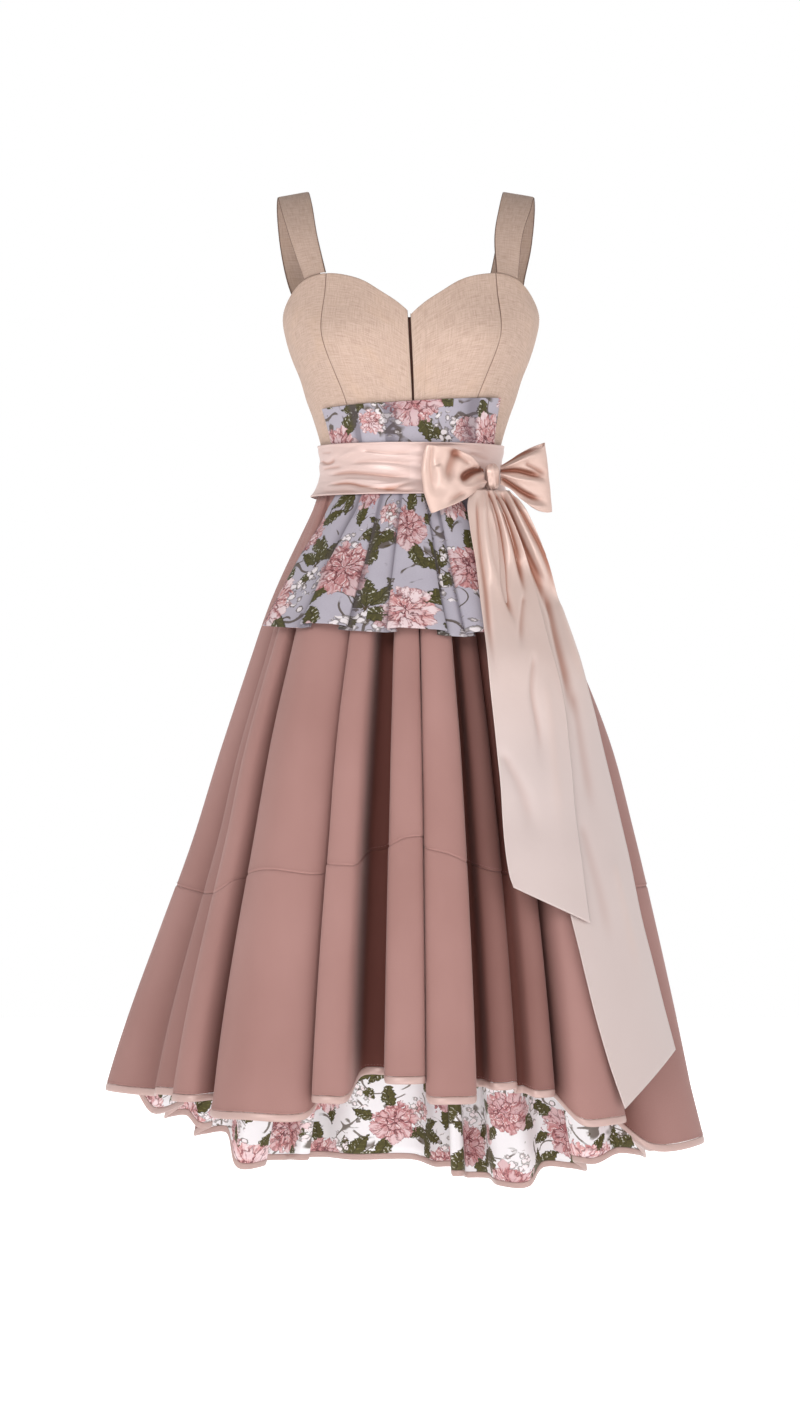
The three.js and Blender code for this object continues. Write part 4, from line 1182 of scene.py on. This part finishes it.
def pleated(folds, start, end, u):
    """Turn, swing and level of pleated cloth at u: even spans of u are flat and odd ones are folds."""
    span, s, count = span_of(folds, u)
    centres = folds["turn"] + folds["step"] * PLEAT["lap"] / 2
    fold = np.clip((span - 1) // 2, 0, count - 1)
    starts = np.concatenate([[start], centres + PLEAT["width"] / 2])
    ends = np.concatenate([centres - PLEAT["width"] / 2, [end]])
    flat = np.clip(span // 2, 0, count)
    levels = np.concatenate([[0.0 if folds["step"][0] > 0 else 1.0], (folds["step"] > 0).astype(float)])
    folded = span % 2 == 1
    turn = np.where(folded, centres[fold] + PLEAT["width"] * (s - 0.5), mix(starts[flat], ends[flat], s))
    swing = np.where(folded, np.sin(2 * math.pi * s), 0.0)
    level = np.where(folded, np.where(folds["step"][fold] > 0, s, 1 - s), levels[flat])
    return turn, swing, level


def pleat_hollow(folds, u, reach):
    """How deep in a pleat the cloth lies: 1 in the fold, fading along the lower flat beside it."""
    span, s, count = span_of(folds, u)
    _, _, level = pleated(folds, 0, 1, u)
    after_fold = np.where(span > 0, np.exp(-s / reach), 0)
    before_fold = np.where(span < 2 * count, np.exp((s - 1) / reach), 0)
    return np.where(span % 2 == 1, 1 - level, (1 - level) * (after_fold + before_fold))


def pleat_columns(folds, flat_steps, fold_steps):
    spans = 2 * len(folds["turn"]) + 1
    columns = []
    for span in range(spans):
        steps = fold_steps if span % 2 else flat_steps
        columns.append(span + np.arange(steps) / steps)
    return np.append(np.concatenate(columns), spans - 1e-6)


def swing_at(share):
    return mix(0.1 * PLEAT["width"], PLEAT["lap"] / 2 + PLEAT["width"] / 4, share)


LOWER_SWELL = 2.2


def lower_peplum():
    p = LOWER_PEPLUM

    def surface(u, v):
        turn, swing, level = pleated(LOWER_FOLDS, p["start"], p["end"], u)
        share = (turn - p["start"]) / (p["end"] - p["start"])
        z = mix(WAIST_Z, mix(p["hem_left"], p["hem_right"], share) + p["pleat_rise"] * level, v)
        here = turn * mix(p["waist_share"], 1, v) + swing * swing_at(v)
        lift = mix(p["low"], p["high"], level) * mix(p["waist_lift"], 1, v) + p["clear"] + JACQUARD / 2
        return around(here, envelope(here, z) + lift, z)

    sewn("peplum_lower", "jacquard", surface, pleat_columns(LOWER_FOLDS, 17, 22),
         spaced(42, 200, first=False), (0.50, 0.205), "gathered", 0.082, out=JACQUARD / 2, up=-1,
         uv_start=(0.05, 0.21), roll={"v1": (0.3, 1.5)}, relief=lambda u, v: LOWER_SWELL * smooth(v * 2),
         creases=CREASES["peplum_lower"], hollow=lambda u, v: pleat_hollow(LOWER_FOLDS, u, 0.16))


def upper_peplum():
    p = UPPER_PEPLUM

    def surface(u, v):
        turn, swing, level = pleated(UPPER_FOLDS, p["start"], p["end"], u)
        share = (turn - p["start"]) / (p["end"] - p["start"])
        z = mix(WAIST_Z, mix(p["top_left"], p["top_right"], share), v)
        waist_share = np.where(turn < 0, p["waist_share_right"], p["waist_share_left"])
        here = turn * mix(waist_share, 1, v) + swing * swing_at(0)
        return around(here, torso_radius(here, z) + mix(p["low"], p["high"], level) + p["flare"] * v * v, z)

    sewn("peplum_upper", "jacquard", surface, pleat_columns(UPPER_FOLDS, 22, 16),
         spaced(30, 95, first=False), (0.25, 0.100), "gathered", out=JACQUARD / 2,
         uv_start=(0.05, 0.52), hollow=lambda u, v: 1.3 * pleat_hollow(UPPER_FOLDS, u, 0.12))


# ------------------------------------------------------------------ sash and bow
# Creases, each with its width, its depth, its lean and its course as seen from the front.
# A ridge's depth is less than 0.
CREASES = {
    "peplum_lower": [
        (8, 2.6, 0.3, [(-68, -399), (-73, -452), (-83, -526), (-91, -575)]),
        (7, 2.2, -0.3, [(-108, -396), (-121, -452), (-137, -514), (-150, -575)]),
        (8, 2.6, 0, [(25, -399), (33, -452), (40, -526), (45, -575)]),
        (9, -3.0, 0, [(-24, -403), (-26, -477), (-29, -563)]),
        (7, 2.0, 0, [(-4, -396), (1, -452), (6, -516)]),
        (8, -2.4, 0, [(-94, -403), (-103, -477), (-115, -563)]),
    ],
    "sash_band": [
        (2.2, 2.6, 0, [(-115, -345), (-108, -349), (-100, -347), (-94, -341)]),
        (2.0, 1.8, 0, [(-114, -335), (-104, -336), (-98, -334)]),
        (2.5, 2.0, 0, [(-112, -356), (-97, -355), (-83, -354)]),
        (2.6, 2.4, 0.4, [(-102, -364), (-77, -363), (-45, -366), (-14, -369), (16, -368)]),
        (3, 1.5, 0, [(-74, -350), (-39, -349), (-1, -353), (16, -356)]),
        (3, 1.6, 0.3, [(-62, -335), (-27, -339), (16, -337)]),
        (2.6, 3.0, -0.5, [(-102, -376), (-79, -375), (-58, -380), (-33, -383), (-1, -376), (16, -373)]),
        (2.2, -1.2, 0, [(-83, -371), (-52, -373), (-20, -375)]),
        (2.4, 1.6, 0, [(-112, -385), (-83, -385), (-58, -388)]),
        (2.6, 1.8, 0, [(-33, -384), (-8, -386), (16, -383)]),
        (2.4, -1.3, 0, [(-89, -342), (-74, -336), (-57, -332)]),
        (3, 1.5, 0, [(36, -329), (74, -331), (111, -337)]),
        (3, 1.5, 0, [(74, -339), (105, -347)]),
    ],
    "bow_loop_right": [
        (4.2, 8.0, -0.3, [(92, -359), (80, -363), (69, -370), (61, -379)]),
        (3.0, 5.5, 0.2, [(92, -359), (84, -349), (77, -337)]),
        (3.4, -3.6, 0, [(86, -358), (76, -346), (70, -335)]),
        (4.5, -3.2, 0, [(94, -374), (79, -383), (61, -390)]),
        (4.0, 2.2, 0, [(91, -379), (64, -391), (36, -408)]),
        (7.0, 2.8, 0.3, [(62, -331), (51, -349), (44, -371), (36, -399)]),
        (7.0, -2.4, 0, [(31, -356), (44, -380), (59, -391)]),
        (4.0, 1.8, 0, [(26, -331), (24, -361), (31, -399)]),
        (4.0, 1.8, 0.3, [(74, -353), (55, -340), (36, -335)]),
    ],
    "bow_loop_left": [
        (3.5, -3.0, 0, [(110, -358), (130, -351), (151, -342), (170, -336)]),
        (3.4, 5.5, 0.3, [(110, -361), (134, -361), (156, -366), (175, -371)]),
        (2.6, 4.0, 0, [(110, -358), (126, -346), (146, -336), (170, -330)]),
        (4.0, -3.0, 0, [(112, -365), (136, -371), (161, -376), (176, -380)]),
        (3.6, 5.0, -0.3, [(112, -368), (131, -381), (149, -391), (174, -401)]),
        (3.0, 2.5, 0, [(144, -351), (161, -359), (175, -366)]),
        (3.5, -2.0, 0, [(136, -399), (159, -406), (176, -405)]),
    ],
    "sash_tail_short": [
        (3.2, 7.0, 0.3, [
            (97, -385), (103, -406), (111, -437), (115, -475), (117, -512), (126, -543), (136, -562),
        ]),
        (4.5, -3.5, 0, [(92, -387), (91, -425), (96, -468), (107, -512), (116, -542)]),
        (4.0, 2.8, 0, [(83, -395), (86, -450), (93, -512), (98, -574), (107, -637)]),
        (4.0, -3.0, 0, [(101, -385), (113, -425), (123, -462), (132, -509)]),
        (3.4, 4.8, -0.3, [(105, -385), (121, -425), (133, -462), (141, -500), (144, -534)]),
        (4.0, -3.0, 0, [(110, -385), (126, -418), (141, -456), (153, -493)]),
        (4.0, 2.0, 0.3, [(141, -519), (137, -556), (136, -589)]),
        (4.5, 1.6, 0.3, [(152, -593), (149, -637), (157, -687), (162, -737)]),
        (8, 1.2, 0, [(111, -712), (136, -762), (151, -824)]),
        (9, -1.0, 0, [(167, -624), (176, -724), (186, -849)]),
    ],
    "sash_tail_long": [
        (4.5, 5.0, 0.2, [(114, -388), (128, -425), (144, -463), (162, -500), (175, -552)]),
        (4.0, -3.6, 0, [(119, -385), (138, -425), (155, -463), (173, -510)]),
        (3.4, 4.2, -0.2, [(124, -385), (145, -425), (162, -456), (174, -487), (183, -530)]),
        (6.0, 3.0, 0.3, [(172, -515), (183, -575), (194, -624), (200, -682)]),
        (6.0, -2.0, 0, [(185, -525), (203, -587), (219, -643)]),
        (8, 1.6, 0, [(203, -637), (216, -724), (231, -819)]),
        (9, 1.3, 0, [(210, -799), (235, -898), (251, -980)]),
        (8, -1.1, 0, [(251, -849), (270, -936), (286, -1018)]),
    ],
}

# The draped sash sits this much higher than its plain band.
SASH_RISE = 2.5

# Edges of each bow loop as seen from the front, from the knot outward, on its front and back leaves.
LOOP_EDGES = {
    "bow_loop_right": table("away top bottom back_top back_bottom", [
        (0, -356, -381, -358, -379), (12, -350, -388, -352, -386), (24, -340, -397, -343, -394),
        (40, -334, -405, -334, -402), (58, -332, -412, -332, -408), (76, -331, -418, -332, -412),
        (84, -333, -416, -333, -414),
    ]),
    "bow_loop_left": table("away top bottom back_top back_bottom", [
        (0, -358, -378, -354, -376), (12, -354, -384, -347, -382), (26, -347, -398, -338, -394),
        (42, -338, -410, -330, -406), (60, -330, -413, -324, -411), (70, -327, -411, -322, -411),
        (80, -327, -411, -322, -411),
    ]),
}

# The sash's edges are rolled: how high, how far from the cut edge and how wide.
SASH_ROLL = {"height": 0.8, "from_edge": 1.2, "wide": 1.3}
# The knot's pleats, as shares of its size, and its waist: how deep, at what angle down and how wide.
KNOT_PLEATS = {"deep": 0.11, "count": 3.5, "twist": 0.9}
KNOT_WAIST = {"deep": 0.1, "angle": 1.7, "wide": 0.35}
# The back leaf of a loop sets in over this share of its length, and its creases are the front's reversed.
LOOP_TURN = {"over": 0.16, "slant_to": 70, "front_creases": 1.3, "back_creases": -0.4}
TAIL_CREASES = 1.3
# How far below the waist the tails come out from under the knot, and over how far.
TAIL_OUT = {"from": 13, "over": 30}


def sash():
    def surface(turn, v):
        z = mix(SASH_LOW_Z, SASH_TOP_Z, v) + SASH_RISE
        wave = SASH_FOLD["count"] * v + SASH_FOLD["lean"] * np.sin(turn * DEG)
        ridge = SASH_FOLD["height"] * mix(0.45, 0.5, v) * np.sin(math.pi * wave) ** 2
        return around(turn, sash_inner(turn, z) + ridge + SATIN, z)

    def relief(turn, v):
        inside = np.minimum(v, 1 - v) * (SASH_TOP_Z - SASH_LOW_Z) - SASH_ROLL["from_edge"]
        rolled = SASH_ROLL["height"] * np.exp(-(inside / SASH_ROLL["wide"]) ** 2)
        return rolled + rippled("sash", turn / 60, v)

    sewn("sash_band", "satin", surface, np.linspace(0, 360, 361)[:-1], spaced(44, 68),
         (0.68, 0.085), "gathered", closed=True, trim=NO_TRIM, creases=CREASES["sash_band"],
         relief=relief)


def knot():
    rows, columns = 48, 72
    down, round_it = np.linspace(0, math.pi, rows), np.linspace(0, 2 * math.pi, columns, False)
    v, u = np.meshgrid(down, round_it, indexing="ij")
    ball = np.stack([np.sin(v) * np.cos(u), np.sin(v) * np.sin(u), np.cos(v)], -1)
    ball *= np.sum(np.abs(ball) ** KNOT["square"], -1, keepdims=True) ** (-1 / KNOT["square"])
    folds = np.abs(np.cos(KNOT_PLEATS["count"] * u + KNOT_PLEATS["twist"] * np.cos(v)))
    pleats = 1 - KNOT_PLEATS["deep"] * folds * np.sin(v) ** 0.5
    pleats *= 1 - KNOT_WAIST["deep"] * np.exp(-((v - KNOT_WAIST["angle"]) / KNOT_WAIST["wide"]) ** 2)
    points = ball * pleats[..., None] * [KNOT["wide"], KNOT["deep"], KNOT["tall"]] + knot_centre()
    _, (a, b, c, d) = grid(rows, columns, True)
    uv = np.stack([u * KNOT["wide"], v * KNOT["tall"]], -1).reshape(-1, 2) * MM
    _, slot, material = FABRICS["bow"]
    piece = new_object("bow_knot_cloth", points.reshape(-1, 3), faces_of(a, d, c, b), uv, material)
    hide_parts("bow_knot")
    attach(piece, "root")


def loop(node):
    sizes, edges = LOOPS[node], LOOP_EDGES[node]
    centre = knot_centre()
    path = np.array([(centre[0] + x, centre[1] + y, 0.0) for x, y in sizes["path"]])

    def behind_at(u):
        return smooth((u - sizes["turning"] + LOOP_TURN["over"] / 2) / LOOP_TURN["over"])

    def crease_share(u, v):
        return mix(LOOP_TURN["front_creases"], LOOP_TURN["back_creases"], behind_at(u))

    def surface(u, v):
        u = np.clip(u, 0, 1)
        place = curve_at(path, u * (len(path) - 1))
        away = np.abs(place[..., 0] - centre[0]) - KNOT["wide"]
        ends = {name: profile(edges, "away", name, away) for name in edges if name != "away"}
        top = mix(ends["top"], ends["back_top"], behind_at(u))
        bottom = mix(ends["bottom"], ends["back_bottom"], behind_at(u))
        outward = sizes["slant"] * (v - 0.5) + sizes["bow"] * (1 - (2 * v - 1) ** 2)
        shift = outward * smooth(away / LOOP_TURN["slant_to"]) * np.sign(place[..., 0] - centre[0])
        return np.stack([place[..., 0] + shift, place[..., 1], mix(bottom, top, v)], -1)

    sewn(node, "bow", surface, np.linspace(0, 1, 170), np.linspace(0, 1, 74),
         (0.16, 0.085), "gathered", 0.010, up=sizes["up"], out=SATIN / 2, trim=NO_TRIM,
         creases=CREASES[node], crease_share=crease_share,
         relief=lambda u, v: rippled("loop", u * 1.6, v))


def tail(node, flat, area):
    ribbon = TAILS[node]
    left, right, stand = ribbon["left"], ribbon["right"], ribbon["stand"]

    def surface(u, v):
        left_z, right_z = (mix(side["z"][0], side["z"][-1], v) for side in (left, right))
        z = mix(left_z, right_z, u)
        x = mix(profile(left, "z", "x", left_z), profile(right, "z", "x", right_z), u)
        opened = smooth((z - TAIL_PLEAT["gone"]) / (WAIST_Z - TAIL_PLEAT["gone"]))
        pleat = TAIL_PLEAT["height"] * opened * np.sin(math.pi * TAIL_PLEAT["count"] * u) ** 2
        off = profile(TAIL_STAND, "z", "off", z) + stand + pleat
        turn = turn_at(x, lambda t: envelope(t, z) + off)
        lying = (envelope(turn, z) + off) * np.cos(turn * DEG)
        drop = WAIST_Z - z
        out = TAIL_HANG["out"] * smooth((drop - TAIL_OUT["from"]) / TAIL_OUT["over"])
        free = 1 - smooth((drop - TAIL_HANG["from"]) / TAIL_HANG["over"])
        hanging = (TAIL_HANG["knot"] + out + stand) * free
        forward = (lying + hanging + np.sqrt((lying - hanging) ** 2 + TAIL_HANG["soft"] ** 2)) / 2
        return np.stack([x, -forward, z], -1)

    sewn(node, "tail", surface, np.linspace(0, 1, 72), np.linspace(0, 1, 230), flat, "hung", area,
         up=-1, trim=NO_TRIM, creases=CREASES[node], crease_share=lambda u, v: TAIL_CREASES,
         relief=lambda u, v: rippled("tail", u, v * 2, share=smooth(v * 3)))


# ------------------------------------------------------------------ stitches
STITCH = {"long": 2.6, "gap": 1.3, "wide": 0.34, "tall": 0.3}
# Where rows of stitches run: beside the slit and below the top edge, as shares of a panel; above the
# flounce seam, as a share of the upper skirt; and above the binding, in millimetres.
STITCH_ROWS = {"slit": 0.165, "top": 0.978, "seam": 0.9935, "binding": 2.5}


def stitches(name, surface, us, vs, up, out, thread, relief=None):
    """A row of stitches along a line of u and v on a surface, as one mesh."""
    normal, _, _ = grid_normals(surface, us[None], vs[None], up)
    lift = relief(us, vs) if relief else 0.0
    line = surface(us[None], vs[None])[0] + normal[0] * np.reshape(out + lift, (-1, 1))
    reached = lengths_along(line)
    starts = np.arange(0, reached[-1] - STITCH["long"], STITCH["long"] + STITCH["gap"])

    def at(values, far):
        return np.stack([np.interp(far, reached, values[:, i]) for i in range(3)], -1)

    a, b = at(line, starts), at(line, starts + STITCH["long"])
    raised = unit(at(normal[0], starts + STITCH["long"] / 2))
    side = unit(np.cross(b - a, raised))
    middle = (a + b) / 2
    ring = [a, middle + side * STITCH["wide"], b, middle - side * STITCH["wide"]]
    top, below = middle + raised * STITCH["tall"], middle - raised * STITCH["tall"]
    points = np.stack([*ring, top, below], 1).reshape(-1, 3)
    corners = [(k, (k + 1) % 4, 4) for k in range(4)] + [((k + 1) % 4, k, 5) for k in range(4)]
    faces = (np.arange(len(starts))[:, None, None] * 6 + np.array(corners)[None]).reshape(-1, 3)
    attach(new_object(name, points, faces, np.zeros((len(points), 2)), thread), "root")


def thread_material(name, rgb):
    shader = Shader(name, roughness=0.6, sheen=0.1)
    shader.hold("Base Color", (*linear(*rgb), 1.0))
    return shader.material


def sewing():
    linen = thread_material("linen_thread", (186, 160, 144))
    rose = thread_material("rose_thread", (150, 104, 100))
    steps = np.linspace(0.02, 0.98, 120)
    slit, top = (np.full(steps.shape, STITCH_ROWS[row]) for row in ("slit", "top"))
    rows = [("slit_stitches", "bodice_front_left", slit, steps)]
    rows += [(f"{node}_edge_stitches", node, steps, top) for node in PANELS]
    for name, node, us, vs in rows:
        left, right, _, _, _ = PANELS[node]
        number = list(PANELS).index(node)
        stitches(name, panel_surface(left, right), us, vs, 1, 0.1, linen,
                 lambda u, v: rippled("linen", u, v, number))
    for place, (first, last) in HALVES.items():
        along = np.linspace(first + 0.02, last - 0.02, (last - first) * 14)
        above = seam_share(along) * STITCH_ROWS["seam"]
        stitches(f"flounce_seam_{place}_stitches", skirt_point, along, above, -1, 0.5, rose)
        hem = 1 - (BINDING_TALL + STITCH_ROWS["binding"]) / skirt_length(along)
        stitches(f"binding_{place}_stitches", skirt_point, along, hem, -1, 0.1, rose)


# ------------------------------------------------------------------ light and camera
# The sky's light is white up to a height, and at its top this grey.
SKY = {"white_to": 0.3, "far": 0.75, "top": 0.25}
# The soft lamps: where each stands and what it points at, in metres, its width and its watts.
LAMPS = {
    "key": ((-1.45, -3.5, 0.9), (0, 0, -0.7), 1.4, 45),
    "fill": ((2.6, -2.6, 0.0), (0, 0, -0.8), 2.0, 13),
    "low": ((0.2, -3.0, -1.3), (0, 0.1, -1.15), 1.2, 20),
    "back": ((0.5, 3.4, 1.0), (0, 0, -0.7), 2.0, 35),
}
CAMERA = {"at": (-0.014, -5.0, -0.663), "lens": 98.9, "sensor": 36.0, "sees_to": 100}
FLOOR = {"z": -1450, "half": 5000, "white": 0.85, "glow": 0.7}


def put(name, data, at):
    """An object for a lamp or camera, where it stands."""
    thing = bpy.data.objects.new(name, data)
    bpy.context.collection.objects.link(thing)
    thing.location = at
    return thing


def sky():
    world = bpy.data.worlds.new("studio")
    bpy.context.scene.world = world
    world.use_nodes = True
    tree = world.node_tree
    coordinates = tree.nodes.new("ShaderNodeTexCoord")
    split = tree.nodes.new("ShaderNodeSeparateXYZ")
    tree.links.new(coordinates.outputs["Generated"], split.inputs[0])
    level = Field(tree, split.outputs[2])
    grey = 1.0 - level.rise(SKY["white_to"], SKY["far"]) * (1 - SKY["top"])
    tree.links.new(grey.socket, tree.nodes["Background"].inputs["Color"])
    tree.nodes["Background"].inputs["Strength"].default_value = 1.0


def lamps():
    for name, (at, aim, size, power) in LAMPS.items():
        data = bpy.data.lights.new(name, "AREA")
        data.size = size
        data.energy = power
        towards = Vector(aim) - Vector(at)
        put(name, data, at).rotation_euler = towards.to_track_quat("-Z", "Y").to_euler()


def floor():
    """A plain white floor below the hem, lit evenly enough to leave no horizon."""
    shader = Shader("floor", roughness=0.9)
    shader.hold("Base Color", (FLOOR["white"], FLOOR["white"], FLOOR["white"], 1.0))
    shader.hold("Emission Color", (1.0, 1.0, 1.0, 1.0))
    shader.hold("Emission Strength", FLOOR["glow"])
    corners = np.array([(-1, -1, 0), (1, -1, 0), (1, 1, 0), (-1, 1, 0)]) * FLOOR["half"]
    uv = corners[:, :2] * MM
    new_object("floor", corners + [0, 0, FLOOR["z"]], [[0, 1, 2, 3]], uv, shader.material)


def camera():
    data = bpy.data.cameras.new("camera")
    data.lens = CAMERA["lens"]
    data.sensor_fit = "AUTO"
    data.sensor_width = CAMERA["sensor"]
    data.clip_end = CAMERA["sees_to"]
    bpy.context.scene.camera = put("camera", data, CAMERA["at"])
    bpy.context.scene.camera.rotation_euler = (math.pi / 2, 0, 0)


bpy.context.scene.view_settings.view_transform = "Standard"
camera()
sky()
lamps()
floor()
bodice()
placket()
strap("strap_right", -1)
strap("strap_left", 1)
upper_peplum()
lower_peplum()
sash()
knot()
loop("bow_loop_right")
loop("bow_loop_left")
tail("sash_tail_short", (0.12, 0.54), 0.053)
tail("sash_tail_long", (0.14, 0.78), 0.100)
skirt()
sewing()
